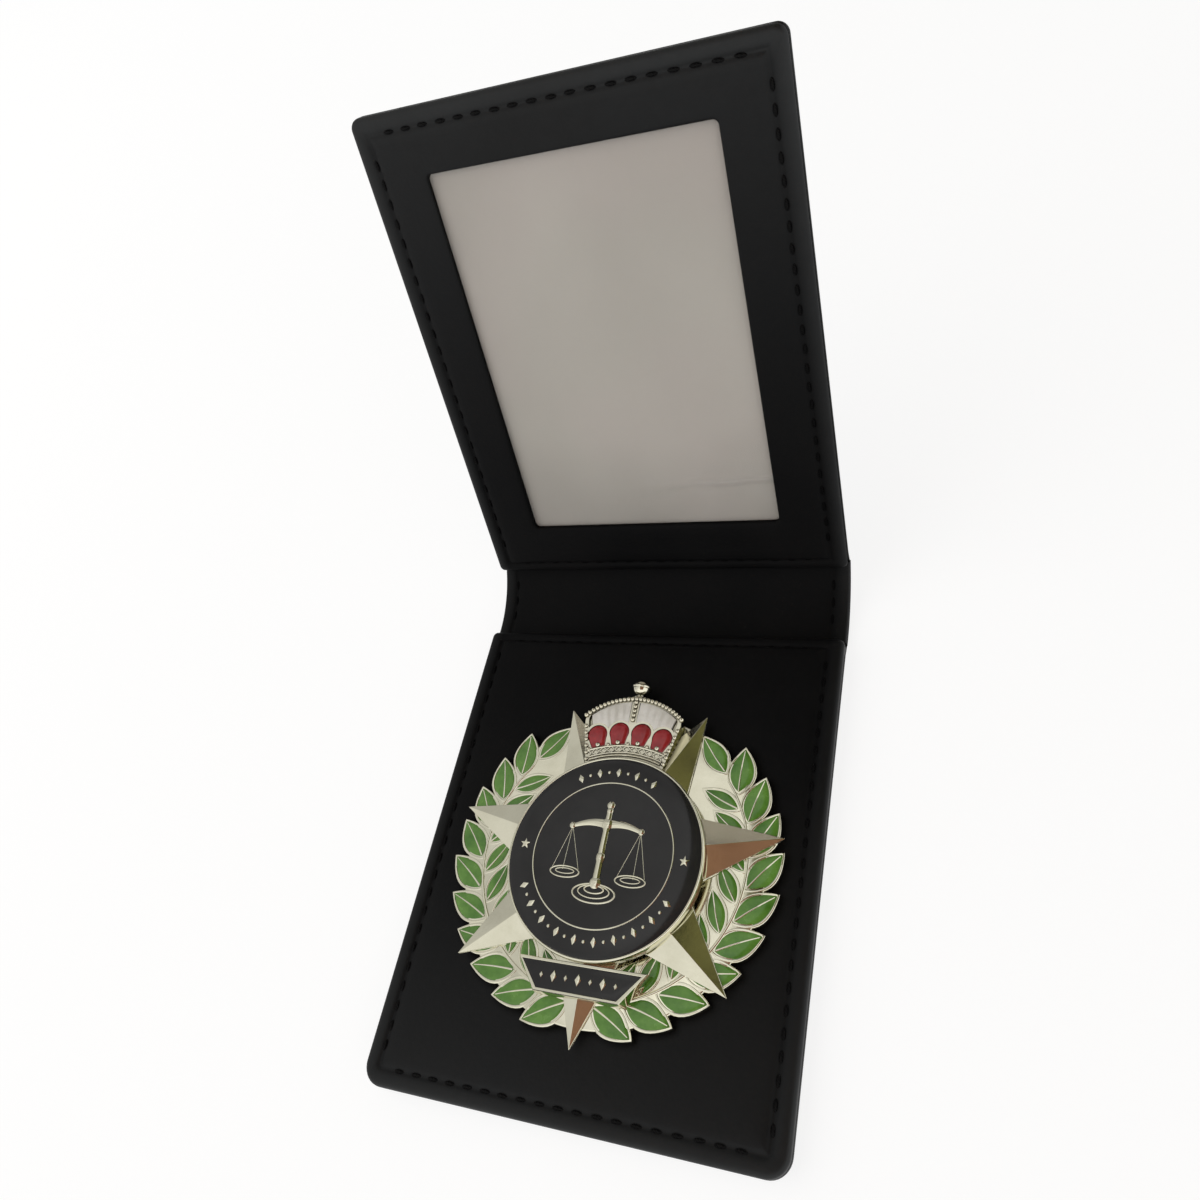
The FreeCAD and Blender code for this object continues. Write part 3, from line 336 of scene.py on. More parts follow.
class Builder:
    """Points and faces of one piece, gathered from several forms."""

    def __init__(self, rings=(), **ends):
        self.points = []
        self.faces = []
        if rings:
            self.rings(rings, **ends)

    def rings(self, rings, cap_start=True, loop=False):
        """A skin over rings of points, with a cap at each end unless the last ring joins the first."""
        first = len(self.points)
        count = len(rings[0])
        for ring in rings:
            self.points += [tuple(p) for p in ring]
        for i in range(len(rings) if loop else len(rings) - 1):
            a = first + i * count
            b = first + ((i + 1) % len(rings)) * count
            for j in range(count):
                k = (j + 1) % count
                self.faces.append((a + j, a + k, b + k, b + j))
        if loop:
            return
        if cap_start:
            self.faces.append(tuple(reversed(range(first, first + count))))
        self.faces.append(tuple(range(len(self.points) - count, len(self.points))))

    def make(self, name, paint, place, smooth=True, angle=None):
        return add_mesh(name, self.points, self.faces, paint, place, smooth, angle)


def put(piece, body, slot, *stands_for):
    """Gives a piece its body and hides the CAD nodes that it stands for; the slot is not used."""
    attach(piece, body)
    if stands_for:
        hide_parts(*stands_for)


def badge_piece(builder, name, paint, angle, slot, *stands_for):
    """A piece of the badge, which is fixed to the base."""
    put(builder.make(name, paint, BADGE_PLACE, angle=angle), "base", slot, *stands_for)


def bevel(piece, width, angle):
    """Softens the edges of a piece that are sharper than an angle."""
    edge = piece.modifiers.new("edge", "BEVEL")
    edge.width = width * MM
    edge.segments = 2
    edge.limit_method = "ANGLE"
    edge.angle_limit = radians(angle)
    return edge


def ease(low, high, value):
    """0 below low and 1 above high, with a smooth passage between them."""
    t = min(1.0, max(0.0, (value - low) / (high - low)))
    return t * t * (3 - 2 * t)


def mix(a, b, t):
    return a + (b - a) * t


def turns(count):
    """Angles of equal steps round a circle."""
    return [2 * pi * k / count for k in range(count)]


def ellipse(centre, first, second, steps=8):
    """Points round an ellipse of two half axes."""
    return [centre + first * cos(a) + second * sin(a) for a in turns(steps)]


def polar(radius, degrees, height=0.0):
    a = radians(degrees)
    return Vector((radius * cos(a), radius * sin(a), height))


def raised(points, height):
    return [p + Vector((0, 0, height)) for p in points]


def lathe(builder, profile, steps=144):
    builder.rings([[polar(radius, 360 * j / steps, z) for j in range(steps)] for radius, z in profile])


# Leather panels: rings drawn in from a rounded outline

CORNER_STEPS = 9
SIDE_STEPS = 46


def rounded(left, right, low, high, a, b):
    """Points round a rectangle, with corner radius a at its low end and b at its high end."""
    corners = ((left + a, low + a, a, 180), (right - a, low + a, a, 270),
               (right - b, high - b, b, 0), (left + b, high - b, b, 90))
    arcs = []
    for x, y, radius, start in corners:
        angles = [radians(start + 90 * j / CORNER_STEPS) for j in range(CORNER_STEPS + 1)]
        arcs.append([(x + radius * cos(angle), y + radius * sin(angle)) for angle in angles])
    points = []
    for arc, following in zip(arcs, arcs[1:] + arcs[:1]):
        (x0, y0), (x1, y1) = arc[-1], following[0]
        shares = [j / SIDE_STEPS for j in range(1, SIDE_STEPS)]
        points += arc + [(mix(x0, x1, t), mix(y0, y1, t)) for t in shares]
    return points


def hinge_inset(d):
    """Insets are tighter along the crease, where the seam runs nearer to the edge."""
    if d < SEAM:
        return d * HINGE_SEAM / SEAM
    return mix(HINGE_SEAM, d, ease(SEAM, 9, d)) if d < 9 else d


def inset_ring(length, corner, d, low, low_corner):
    """A panel's outline drawn in by d, with its own edge and corners at the crease."""
    return rounded(d - HALF_WIDTH, HALF_WIDTH - d, low, length - d, max(low_corner, LEAST_CORNER),
                   max(corner - d, LEAST_CORNER))


def panel_ring(length, corner, d):
    inset = hinge_inset(d)
    return inset_ring(length, corner, d, inset, HINGE_CORNER - inset)


def uneven(x, y, scale, seed):
    return noise.noise(Vector((x / scale, y / scale, seed)))


# Section of a face from its edge inwards over the stitched seam: inset and height over the panel's top
SEAM_PROFILE = ((0.0, -1.45), (0.0, -1.0), (0.06, -0.62), (0.22, -0.32), (0.5, -0.1), (0.95, 0.01),
                (1.6, 0.06), (2.2, 0.03), (2.62, -0.08), (2.92, -0.24), (3.2, -0.31), (3.48, -0.24),
                (3.78, -0.07), (4.2, 0.05), (5.0, 0.11), (6.4, 0.15))
HEM_FLOOR = 1.15


def face_point(x, y, rise, top, d, seed):
    """Height of a face: its profile with small puckers along the seam."""
    pucker = cos((x + y) * 2 * pi / PITCH) * 0.035 * ease(1.2, 2.6, d) * (1 - ease(3.9, 5.6, d))
    swell = 0.05 * uneven(x, y, 16, seed) * ease(3.5, 9, d)
    return top + rise + pucker + swell


def base_face():
    """Padded face of the lower panel, flat under the badge."""
    floor = 2.72
    seed = 3.1
    badge_y = BASE_LENGTH / 2 - BADGE.y
    rings = []
    for d, height in ((2.6, floor), (0.4, floor), (0.1, floor + 0.12), (0.0, floor + 0.35)):
        rings.append([(x, y, mix(HEM_FLOOR, height, ease(0.9, 2.4, y)) if y < 2.4 else height)
                      for x, y in panel_ring(BASE_LENGTH, BASE_CORNER, d)])
    inner = [(d, 0.16) for d in (8.5, 11, 14, 18, 22, 26, 30, 34, 37, 39.3)]
    for d, rise in list(SEAM_PROFILE) + inner:
        ring = []
        for x, y in panel_ring(BASE_LENGTH, BASE_CORNER, d):
            free = ease(31, 38, hypot(x - BADGE.x, y - badge_y))
            lift = rise if rise < 0.05 else mix(-0.02, rise, free)
            z = face_point(x, y, lift, BASE_TOP, d, seed)
            ring.append((x, y, mix(min(z, BASE_TOP - 0.01), z, free)))
        rings.append(ring)
    piece = Builder(rings).make("base_face_leather", LEATHER, BASE_PLACE)
    put(piece, "base", "black_leather", "base_face", "base_pad")


def cover(name, body, length, corner, rim, place):
    """Outer leather with a rolled edge, thinned towards the crease."""
    lap = 0.9
    profile = [(2.4, rim), (0.42, rim), (0.1, rim - 0.12), (0.0, rim - 0.4), (0.0, 1.7), (0.1, 1.12),
               (0.36, 0.6), (0.78, 0.25), (1.3, 0.07), (1.9, 0.0), (4, -0.01)]
    profile += [(d, 0.0) for d in (9, 16, 24, 32, 39.3)]
    rings = []
    for d, height in profile:
        ring = []
        for x, y in inset_ring(length, corner, d, d - lap, lap - d):
            z = mix(min(height, 1.1), height, ease(-0.2, 1.4, y))
            sag = 0.04 * uneven(x, y, 18, 8.3) * ease(2, 9, d)
            ring.append((x, y, z + max(sag, 0.0)))
        rings.append(ring)
    put(Builder(rings).make(name + "_leather", LEATHER, place), body, "black_leather", name)


def lid_face():
    """Window frame of the upper panel: hemmed on three sides, open to the pocket on the fourth."""
    seed = 5.7
    rings = []

    def floor_at(x, y):
        return mix(mix(HEM_FLOOR, 2.32, ease(0.9, 2.4, y)), 3.24, ease(36.8, 38.6, x))

    def window_ring(margin):
        return rounded(-WINDOW_HALF - margin, WINDOW_HALF + margin, WINDOW_BORDER - margin,
                       LID_LENGTH - WINDOW_BORDER + margin, 1 + margin, 1 + margin)

    for d, lift in ((2.6, 0.0), (0.4, 0.0), (0.1, 0.12), (0.0, 0.3)):
        rings.append([(x, y, floor_at(x, y) + lift) for x, y in panel_ring(LID_LENGTH, LID_CORNER, d)])
    for d, rise in SEAM_PROFILE:
        outer = panel_ring(LID_LENGTH, LID_CORNER, d)
        ring = []
        for x, y in outer:
            z = face_point(x, y, rise, LID_TOP, d, seed)
            ring.append((x, y, max(z, floor_at(x, y) + 0.34) if d < 0.3 else z))
        rings.append(ring)
    start = window_ring(3.4)
    for t in (0.0, 0.34, 0.67, 1.0):
        share = mix(0.12, 1, t)
        ring = []
        for (ox, oy), (wx, wy) in zip(outer, start):
            x, y = mix(ox, wx, share), mix(oy, wy, share)
            ring.append((x, y, LID_TOP + 0.14 + 0.06 * uneven(x, y, 15, seed)))
        rings.append(ring)
    for margin, rise in ((2.2, 0.12), (1.4, 0.08), (0.8, 0.04), (0.42, -0.02), (0.16, -0.14), (0.03, -0.34),
                         (0.0, -0.6), (0.0, -1.06), (0.9, -1.08)):
        rings.append([(x, y, LID_TOP + rise) for x, y in window_ring(margin)])
    piece = Builder(rings, loop=True).make("lid_face_leather", LEATHER, LID_PLACE)
    put(piece, "lid", "black_leather", "lid_face")


def window_sheet():
    """Thin film that lies a little wavy behind the window."""
    side, low, high = 34.4, 5.6, LID_LENGTH - 5.6
    floor, thick = 2.93, 0.26
    across, along = 40, 50
    rings = []
    for i in range(along + 1):
        y = mix(low, high, i / along)
        back = []
        for j in range(across + 1):
            x = mix(-side, side, j / across)
            inside = ease(0, 8, min(side - abs(x), y - low, high - y))
            wave = 0.05 * inside * (uneven(x, y, 21, 1.4) + 0.5 * uneven(x, y, 9, 4.4))
            back.append((x, y, floor + min(max(wave, -0.04), 0.04)))
        rings.append(back + [(x, y, z + thick) for x, y, z in reversed(back)])
    piece = Builder(rings).make("window_film_sheet", FILM, LID_PLACE, angle=40)
    put(piece, "lid", "clear_film", "window_film")


# Spine: two leathers, each in two halves that reach from the middle over the crease on either side

SPINE_RADIUS = (SPINE_WIDTH ** 2 / 4 + SPINE_BOW ** 2) / (2 * SPINE_BOW)
SPINE_HALF = asin(SPINE_WIDTH / 2 / SPINE_RADIUS)
SPINE_PLACE = Matrix.Translation(CREASE_A) @ Matrix.Rotation(SPINE_REST, 4, "X")
END_GAP = 0.05


def spine_point(x, along, inward):
    """A point of the bowed spine, at an angle from its middle and a depth from its outside."""
    reach = SPINE_RADIUS - inward
    y = SPINE_WIDTH / 2 + reach * sin(along)
    return (x, y, SPINE_RADIUS * cos(SPINE_HALF) - reach * cos(along))


def strip_section(outer, inner, seam):
    """Section of a strip across the wallet: round ends and, on the lining, a pressed seam near each."""
    half = HALF_WIDTH - END_GAP
    turn = (inner - outer) / 2
    middle = (outer + inner) / 2
    end = [(half - turn + turn * cos(a), middle + turn * sin(a))
           for a in (radians(-90 + 18 * i) for i in range(11))]
    steps = [half - turn - 0.5] + [half - d for d in (1.6, 2.4, 2.8, 3.2, 3.6, 4.1, 5.2, 8, 14, 22, 30)]
    steps += [0.0] + [-x for x in reversed(steps)]
    face = []
    for x in steps:
        press = 0.24 * exp(-((half - SEAM - abs(x)) / 0.42) ** 2) if seam else 0.0
        puff = 0.1 * ease(0, 6, half - 3.8 - abs(x)) if seam else 0.0
        face.append((x, inner - press + puff))
    other = [(-x, 2 * middle - depth) for x, depth in end]
    back = [(x, outer) for x in reversed(steps[2:-2])]
    return end + face + other + back


def spine_strip(name, outer, inner, seam, sign, extra, stands_for):
    """Half of a strip, from the middle of the spine over the crease on one side."""
    steps = 26
    limit = SPINE_HALF + extra / SPINE_RADIUS
    section = strip_section(outer, inner, seam)
    rings = []
    for i in range(steps + 1):
        along = sign * limit * i / steps
        ring = []
        for x, depth in section:
            sag = 0.06 * uneven(x, along * 24, 13, 2.6) if seam else 0.0
            ring.append(spine_point(x, along, depth + sag))
        rings.append(ring)
    piece = Builder(rings, cap_start=False).make(name, LEATHER, SPINE_PLACE)
    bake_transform(piece)
    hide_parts(stands_for)


# Stitches: short swollen lengths of thread that dip into the leather at each hole

STITCH_SWELL = ((0.0, 0.25), (0.1, 0.62), (0.28, 0.95), (0.5, 1.0), (0.72, 0.95), (0.9, 0.62), (1.0, 0.25))
THREAD_WIDTH = 0.6
THREAD_HEIGHT = 0.5


def stitch(builder, start, run, across, up, length):
    rings = []
    for share, swell in STITCH_SWELL:
        dip = -0.34 * (1 - sin(pi * share)) ** 1.5
        centre = start + run * (length * share) + up * dip
        rings.append(ellipse(centre, across * (THREAD_WIDTH / 2 * swell), up * (THREAD_HEIGHT / 2 * swell)))
    builder.rings(rings)


def seam_run(builder, start, end, up):
    """A row of stitches, each a little out of line."""
    whole = end - start
    run = whole.normalized()
    across = run.cross(up)
    count = int(whole.length / PITCH)
    spare = (whole.length - count * PITCH) / 2
    for i in range(count):
        stray = uneven(start.x + start.y, i, 1.7, 6.1)
        at = start + run * (spare + i * PITCH + 0.6 + 0.2 * stray) + across * (0.06 * stray)
        stitch(builder, at, (run + across * 0.09 * stray).normalized(), across, up, PITCH - 1.15)


def panel_seams(name, body, length, top, place, stands_for):
    half = HALF_WIDTH - SEAM
    level = top - 0.18
    corner = PITCH / 2
    up = Vector((0, 0, 1))
    thread = Builder()
    low, high = HINGE_SEAM, length - SEAM
    for y in (low, high):
        seam_run(thread, Vector((corner - half, y, level)), Vector((half - corner, y, level)), up)
    for x in (-half, half):
        seam_run(thread, Vector((x, low + corner, level)), Vector((x, high - corner, level)), up)
    put(thread.make(name, THREAD, place), body, "thread", stands_for)


def spine_seams():
    thread = Builder()
    depth = 1.5
    reach = SPINE_RADIUS - depth
    span = 2 * (SPINE_HALF - 0.7 / SPINE_RADIUS)
    count = int(span * reach / PITCH)
    across = Vector((1, 0, 0))
    for side in (-1, 1):
        x = side * (HALF_WIDTH - SEAM - END_GAP)
        for i in range(count):
            along = (i + 0.5 - count / 2) * PITCH / reach
            run = Vector((0, cos(along), sin(along)))
            up = Vector((0, -sin(along), cos(along)))
            start = Vector(spine_point(x, along, depth)) - run * (PITCH / 2 - 0.35)
            stitch(thread, start, run, across, up, PITCH - 0.7)
    put(thread.make("spine_thread", THREAD, SPINE_PLACE), "spine", "thread", "spine_stitching")


# Badge: wreath

PLATE_TOP = 1.8
PLATE_LAP = 3.2
LEAVES = 10
INNER_LEAVES = 9
LEAF_STEM = 27.02
LEAF_FIRST = -84.8
LEAF_LAST = 32.0
LEAF_STEP = (LEAF_LAST - LEAF_FIRST) / (LEAVES - 1)
LEAF_STEPS = 14
WREATH_RISE = Vector((0, 1.0, 0))


def leaf_places():
    """Foot, heading, length, width and hand of every leaf of the two branches."""
    branch = [(LEAF_FIRST + i * LEAF_STEP, LEAF_STEM, -33.0, 9.0, 4.7) for i in range(LEAVES)]
    for i in range(INNER_LEAVES):
        lean = mix(50.0, 40.0, i / (INNER_LEAVES - 1))
        branch.append((LEAF_FIRST + (i + 0.5) * LEAF_STEP, LEAF_STEM - 0.9, lean, 8.2, 3.3))
    branch.append((LEAF_LAST + 0.8 * LEAF_STEP, LEAF_STEM, -4.0, 9.0, 4.2))
    places = []
    for angle, radius, lean, length, width in branch:
        foot = polar(radius, angle) + WREATH_RISE
        heading = angle + 90 + lean
        places.append((foot, heading, length, width, 1))
        places.append((Vector((-foot.x, foot.y, 0)), 180 - heading, length, width, -1))
    return places


def leaf_line(foot, heading, length, width, grow, inner=1.0):
    """Outline of a leaf, widest below its middle, from its foot round to its foot."""
    along, across = polar(1, heading), polar(1, heading + 90)
    start = foot - along * grow
    reach = length + 2 * grow
    halves = []
    for i in range(LEAF_STEPS + 1):
        s = i / LEAF_STEPS
        s = s * s * (3 - 2 * s) * 0.5 + s * 0.5
        w = (width / 2 + grow) * max(sin(pi * s ** 0.87), 0.0) ** 0.9
        halves.append((s, w))
    middle = foot + along * (length / 2)
    points = []
    for side, order in ((1, halves), (-1, halves[-2:0:-1])):
        for s, w in order:
            p = start + along * (reach * s) + across * (side * w)
            points.append(middle + (p - middle) * inner)
    return points


def leaf_vein(vein, level, foot, heading, length, hand):
    """A raised line with a flat top along the middle of a leaf."""
    along, across = polar(1, heading), polar(1, heading + 90)
    section = ((1, -0.05), (1, 0.08), (0.6, 0.11), (-0.6, 0.11), (-1, 0.08), (-1, -0.05))
    rings = []
    for i in range(9):
        s = i / 8
        centre = foot + along * (length * mix(0.05, 0.95, s))
        centre += across * (0.16 * hand * sin(pi * s))
        w = 0.17 * (1 - 0.5 * s)
        rings.append([centre + across * (w * side) + Vector((0, 0, level + lift))
                      for side, lift in section])
    vein.rings(rings)


def wreath_stem(metal, hand):
    rings = []
    for i in range(61):
        outward = polar(1, mix(-88, 39, i / 60))
        outward.x *= hand
        centre = outward * (LEAF_STEM - 0.45) + WREATH_RISE + Vector((0, 0, PLATE_TOP))
        thick = mix(0.38, 0.22, i / 60)
        rings.append(ellipse(centre, outward * thick, Vector((0, 0, thick * 0.4))))
    metal.rings(rings)


def wreath():
    """Round plate with two branches of bordered leaves, filled with enamel."""
    metal, fill, vein = Builder(), Builder(), Builder()
    for number, (foot, heading, length, width, hand) in enumerate(leaf_places()):
        level = PLATE_TOP + 0.012 * (number % 3)
        border = ((0.6, 0.0), (0.6, level - 0.26), (0.54, level - 0.1), (0.42, level - 0.01), (0.3, level),
                  (0.08, level), (0.0, level - 0.05), (-0.03, level - 0.25))
        metal.rings([raised(leaf_line(foot, heading, length, width, grow), z) for grow, z in border])
        domed = ((1.0, -0.12), (0.94, -0.03), (0.8, 0.03), (0.55, 0.06), (0.25, 0.07))
        fill.rings([raised(leaf_line(foot, heading, length, width, 0.0, inner), level + lift)
                    for inner, lift in domed])
        leaf_vein(vein, level, foot, heading, length, hand)
    rim = LEAF_STEM + PLATE_LAP
    ground = PLATE_TOP - 0.02
    lathe(metal, ((0.5, 0.0), (rim - 0.15, 0.0), (rim, 0.15), (rim, PLATE_TOP - 0.34),
                  (rim - 0.07, PLATE_TOP - 0.16), (rim - 0.2, PLATE_TOP - 0.05), (rim - 0.4, ground),
                  (24.0, ground), (0.5, ground)))
    for hand in (1, -1):
        wreath_stem(metal, hand)
    badge_piece(metal, "wreath_metal", SILVER, 38, "plated_metal", "wreath_plate")
    badge_piece(fill, "wreath_green", GREEN, 50, "green_enamel", "wreath_enamel")
    badge_piece(vein, "wreath_veins", SILVER, 30, "plated_metal")


# Badge: star

STAR_COUNT = 7
STAR_TIP = 33.7
STAR_NOTCH = 16.3
STAR_RISE = 3.6
STAR_RIM = 2.3


def star_points():
    """Seven ridged points round the medallion, with fine bevels along ridge and rim."""
    star = Builder()
    half = 180 / STAR_COUNT
    hidden = 18.4
    ridge_z = STAR_RIM + STAR_RISE * (1 - hidden / STAR_TIP)
    for k in range(STAR_COUNT):
        angle = -90 + k * 2 * half
        first = len(star.points)
        for p in (polar(STAR_TIP, angle), polar(STAR_NOTCH, angle + half), polar(STAR_NOTCH, angle - half)):
            star.points += [tuple(p + Vector((0, 0, PLATE_TOP))), tuple(p + Vector((0, 0, STAR_RIM)))]
        star.points.append(tuple(polar(hidden, angle, ridge_z)))
        t0, t1, l0, l1, r0, r1, top = range(first, first + 7)
        star.faces += [(t1, top, l1), (t1, r1, top), (t0, t1, l1, l0), (t0, r0, r1, t1), (t0, l0, r0),
                       (l0, l1, top, r1, r0)]
    piece = star.make("star_points", SILVER, BADGE_PLACE, smooth=False)
    bevel(piece, 0.07, 20).harden_normals = True
    put(piece, "base", "plated_metal", "star")


# Badge: medallion

DISC_RADIUS = 19.5
DOME_RADIUS = 18.95
BAND_RADIUS = 16.1


def dome(x, y):
    """Height of the clear dome over the medallion."""
    share = min(1.0, hypot(x, y) / DOME_RADIUS)
    return 5.2 + 0.9 * (0.3 + 0.7 * (1 - share ** 3.2) ** 0.6)


def lifted(p, height_at, lift):
    """A point over a curved face."""
    return (p.x, p.y, height_at(p.x, p.y) + lift)


def ribbon(builder, path, widths, rise, closed=False):
    """A raised line on the dome with a rounded top, along a path of points."""
    sink = 0.12
    section = ((-1, -sink), (-1, rise * 0.35), (-0.6, rise * 0.85), (0, rise), (0.6, rise * 0.85),
               (1, rise * 0.35), (1, -sink))
    count = len(path)
    rings = []
    for i, p in enumerate(path):
        before = path[(i - 1) % count] if closed or i else path[0]
        after = path[(i + 1) % count] if closed or i < count - 1 else path[-1]
        run = (after - before).normalized()
        across = Vector((-run.y, run.x, 0))
        w = widths[i] if isinstance(widths, list) else widths
        rings.append([lifted(p + across * (w / 2 * side), dome, lift) for side, lift in section])
    builder.rings(rings, loop=closed)


def oval(cx, cy, rx, ry, steps=40):
    return ellipse(Vector((cx, cy, 0)), Vector((rx, 0, 0)), Vector((0, ry, 0)), steps)


def line(start, end, steps, bow=0.0):
    """Points from start to end, bowed to one side by a share of the length."""
    a, b = Vector((*start, 0)), Vector((*end, 0))
    across = Vector((-(b - a).y, (b - a).x, 0))
    shares = [i / steps for i in range(steps + 1)]
    return [a + (b - a) * t + across * (bow * sin(pi * t)) for t in shares]


def stud(builder, x, y, radius, rise, sides=16, points=None):
    """A small raised dot, or a star where points gives the inner share of its radius."""
    rings = []
    for share, lift in ((1.0, -0.12), (1.0, rise * 0.4), (0.7, rise * 0.85), (0.2, rise)):
        ring = []
        for i, a in enumerate(turns(sides)):
            r = radius * share * (points if points and i % 2 else 1)
            a += pi / 2
            ring.append((x + r * cos(a), y + r * sin(a), dome(x, y) + lift))
        rings.append(ring)
    builder.rings(rings)


def lozenge(builder, centre, heading, long, wide, height_at, rise):
    along, across = polar(1, heading), polar(1, heading + 90)
    corners = (along * long / 2, across * wide / 2, -along * long / 2, -across * wide / 2)
    builder.rings([[lifted(centre + p * share, height_at, lift) for p in corners]
                   for share, lift in ((1.0, -0.1), (1.0, rise * 0.4), (0.72, rise))])


def medallion():
    """Turned rim, black domed field, and metal lines in low relief."""
    rim = Builder()
    lathe(rim, [(DISC_RADIUS - inset, z) for inset, z in (
        (17.5, 3.2), (0.4, 3.2), (0.15, 3.26), (0.0, 3.45), (0.0, 5.0), (0.03, 5.22), (0.1, 5.4),
        (0.2, 5.5), (0.32, 5.53), (0.44, 5.49), (0.52, 5.38), (0.54, 5.2), (17.5, 5.0))])
    badge_piece(rim, "medallion_rim", SILVER, 50, "plated_metal", "disc_body")

    field = Builder()
    shares = (1.0, 0.995, 0.985, 0.97, 0.95, 0.92, 0.88, 0.83, 0.76, 0.68, 0.58, 0.46, 0.32, 0.16, 0.02)
    foot = [(0.4, 5.1), (DOME_RADIUS, 5.1)]
    lathe(field, foot + [(DOME_RADIUS * share, dome(DOME_RADIUS * share, 0)) for share in shares])
    badge_piece(field, "medallion_field", BLACK, 60, "black_enamel", "disc_enamel", "disc_dome")

    inlay = Builder()
    ribbon(inlay, oval(0, 0, 13.9, 13.9, 160), 0.24, 0.05, closed=True)
    for side in (-1, 1):
        stud(inlay, side * BAND_RADIUS, 0.3, 1.05, 0.1, 10, 0.42)
    for start, end, count in ((62, 118, 9), (208, 332, 19)):
        for i in range(count):
            angle = mix(start, end, i / (count - 1))
            place = polar(BAND_RADIUS, angle)
            if i % 2:
                stud(inlay, place.x, place.y, 0.3, 0.08)
            else:
                lozenge(inlay, place, angle, 1.9, 1.1, dome, 0.09)
    balance(inlay)
    badge_piece(inlay, "medallion_inlay", SILVER, 45, "plated_metal")


def balance(inlay):
    """A plain pair of scales in low relief."""
    column = line((0, -6.4), (0, 8.9), 26)
    widths = [1.35 - 0.3 * i / 26 + (0.4 if i in (9, 10, 19) else 0) for i in range(27)]
    ribbon(inlay, column, widths, 0.3)
    for y, radius in ((9.3, 0.78), (8.2, 0.62), (5.6, 1.15), (-0.6, 0.8), (-5.6, 1.1)):
        stud(inlay, 0, y, radius, 0.38)
    for side in (-1, 1):
        arm = line((0, 5.6), (side * 6.9, 4.7), 14, side * 0.075)
        ribbon(inlay, arm, [1.75 - 0.075 * i for i in range(15)], 0.24)
        stud(inlay, side * 7.0, 4.75, 0.62, 0.28)
        foot = -3.9 if side < 0 else -4.3
        centre = side * 6.6
        for reach in (-2.75, 0.5 * side, 2.75):
            ribbon(inlay, line((side * 6.95, 4.6), (centre + reach, foot + 0.15), 10), 0.11, 0.05)
        for rx, ry, drop, width, rise in ((2.95, 1.05, 0.25, 0.3, 0.16), (1.9, 0.5, 0.1, 0.22, 0.1)):
            ribbon(inlay, oval(centre, foot - drop, rx, ry), width, rise, closed=True)
    for rx, ry, y, width, rise in ((4.2, 1.75, -7.5, 0.34, 0.14), (3.1, 1.2, -7.2, 0.28, 0.18),
                                   (1.9, 0.72, -6.8, 0.34, 0.24)):
        ribbon(inlay, oval(0, y, rx, ry), width, rise, closed=True)


# Badge: bar

BAR_TOP_Y = -19.6
BAR_LOW_Y = -25.4
BAR_TOP_HALF = 12.5
BAR_LOW_HALF = 8.3
BAR_FIELD = 4.6


def bar_outline(inset, z):
    half_top, half_low = BAR_TOP_HALF - inset * 1.5, BAR_LOW_HALF - inset * 0.9
    low, high = BAR_LOW_Y + inset, BAR_TOP_Y - inset
    corners = ((-half_low, low), (half_low, low), (half_top, high), (-half_top, high))
    return [Vector((x, y, z)) for x, y in corners]


def bar():
    """Tapered bar with a sunk enamel field and a plain row of lozenges."""
    body = Builder([bar_outline(inset, z) for inset, z in (
        (-0.12, 1.8), (0.0, 4.2), (0.04, 4.52), (0.16, 4.7), (0.5, 4.7), (0.58, 4.64), (0.6, 4.3))])
    badge_piece(body, "bar_body", SILVER, 25, "plated_metal", "name_bar")
    field = Builder([bar_outline(inset, z) for inset, z in (
        (0.58, 4.4), (0.62, 4.54), (0.85, 4.58), (1.7, BAR_FIELD))])
    badge_piece(field, "bar_field", BLACK, 35, "black_enamel", "bar_enamel")
    row = Builder()
    for i in range(-3, 4):
        long, wide, rise = (1.1, 0.7, 0.08) if i % 2 else (2.1, 1.2, 0.1)
        place = Vector((i * 2.4, (BAR_TOP_Y + BAR_LOW_Y) / 2, 0))
        lozenge(row, place, 90, long, wide, lambda x, y: BAR_FIELD, rise)
    badge_piece(row, "bar_lozenges", SILVER, 30, "plated_metal")


# Badge: crest

CREST_TOP = 4.6
CREST_HALF = 10.5
CREST_SHOULDER = 28.2
CREST_PEAK = 32.5
ARCH_RISE = CREST_PEAK - CREST_SHOULDER
ARCH_RADIUS = (CREST_HALF ** 2 + ARCH_RISE ** 2) / (2 * ARCH_RISE)
ARCH_MIDDLE = CREST_PEAK - ARCH_RADIUS
PETALS = 4
PETAL_STEP = 10.6
PETAL_ORBIT = 25.2
PETAL_RADIUS = 2.1
PETAL_CELL = 2.6
PETAL_FOOT = 22.5
PETAL_FOOT_HALF = 1.4
FINIAL_Y = 35.5
FINIAL_Z = 3.2
FINIAL_RING = 1.93


def ball(builder, centre, radius, steps=10):
    rings = []
    for i in range(steps + 1):
        a = pi * (0.04 + 0.92 * i / steps)
        r, z = radius * sin(a), -radius * cos(a)
        rings.append(ellipse(centre + Vector((0, 0, z)), Vector((r, 0, 0)), Vector((0, r, 0)), 14))
    builder.rings(rings)


def arch(inset, steps):
    """Points along the crest's arch, from its right shoulder to its left."""
    limit = asin(CREST_HALF / ARCH_RADIUS)
    reach = ARCH_RADIUS - inset
    points = []
    for i in range(steps + 1):
        a = limit * (1 - 2 * i / steps) * 0.97
        points.append(Vector((reach * sin(a), ARCH_MIDDLE + reach * cos(a), 0)))
    return points


def petal_angle(i):
    return 90 + PETAL_STEP * (i - (PETALS - 1) / 2)


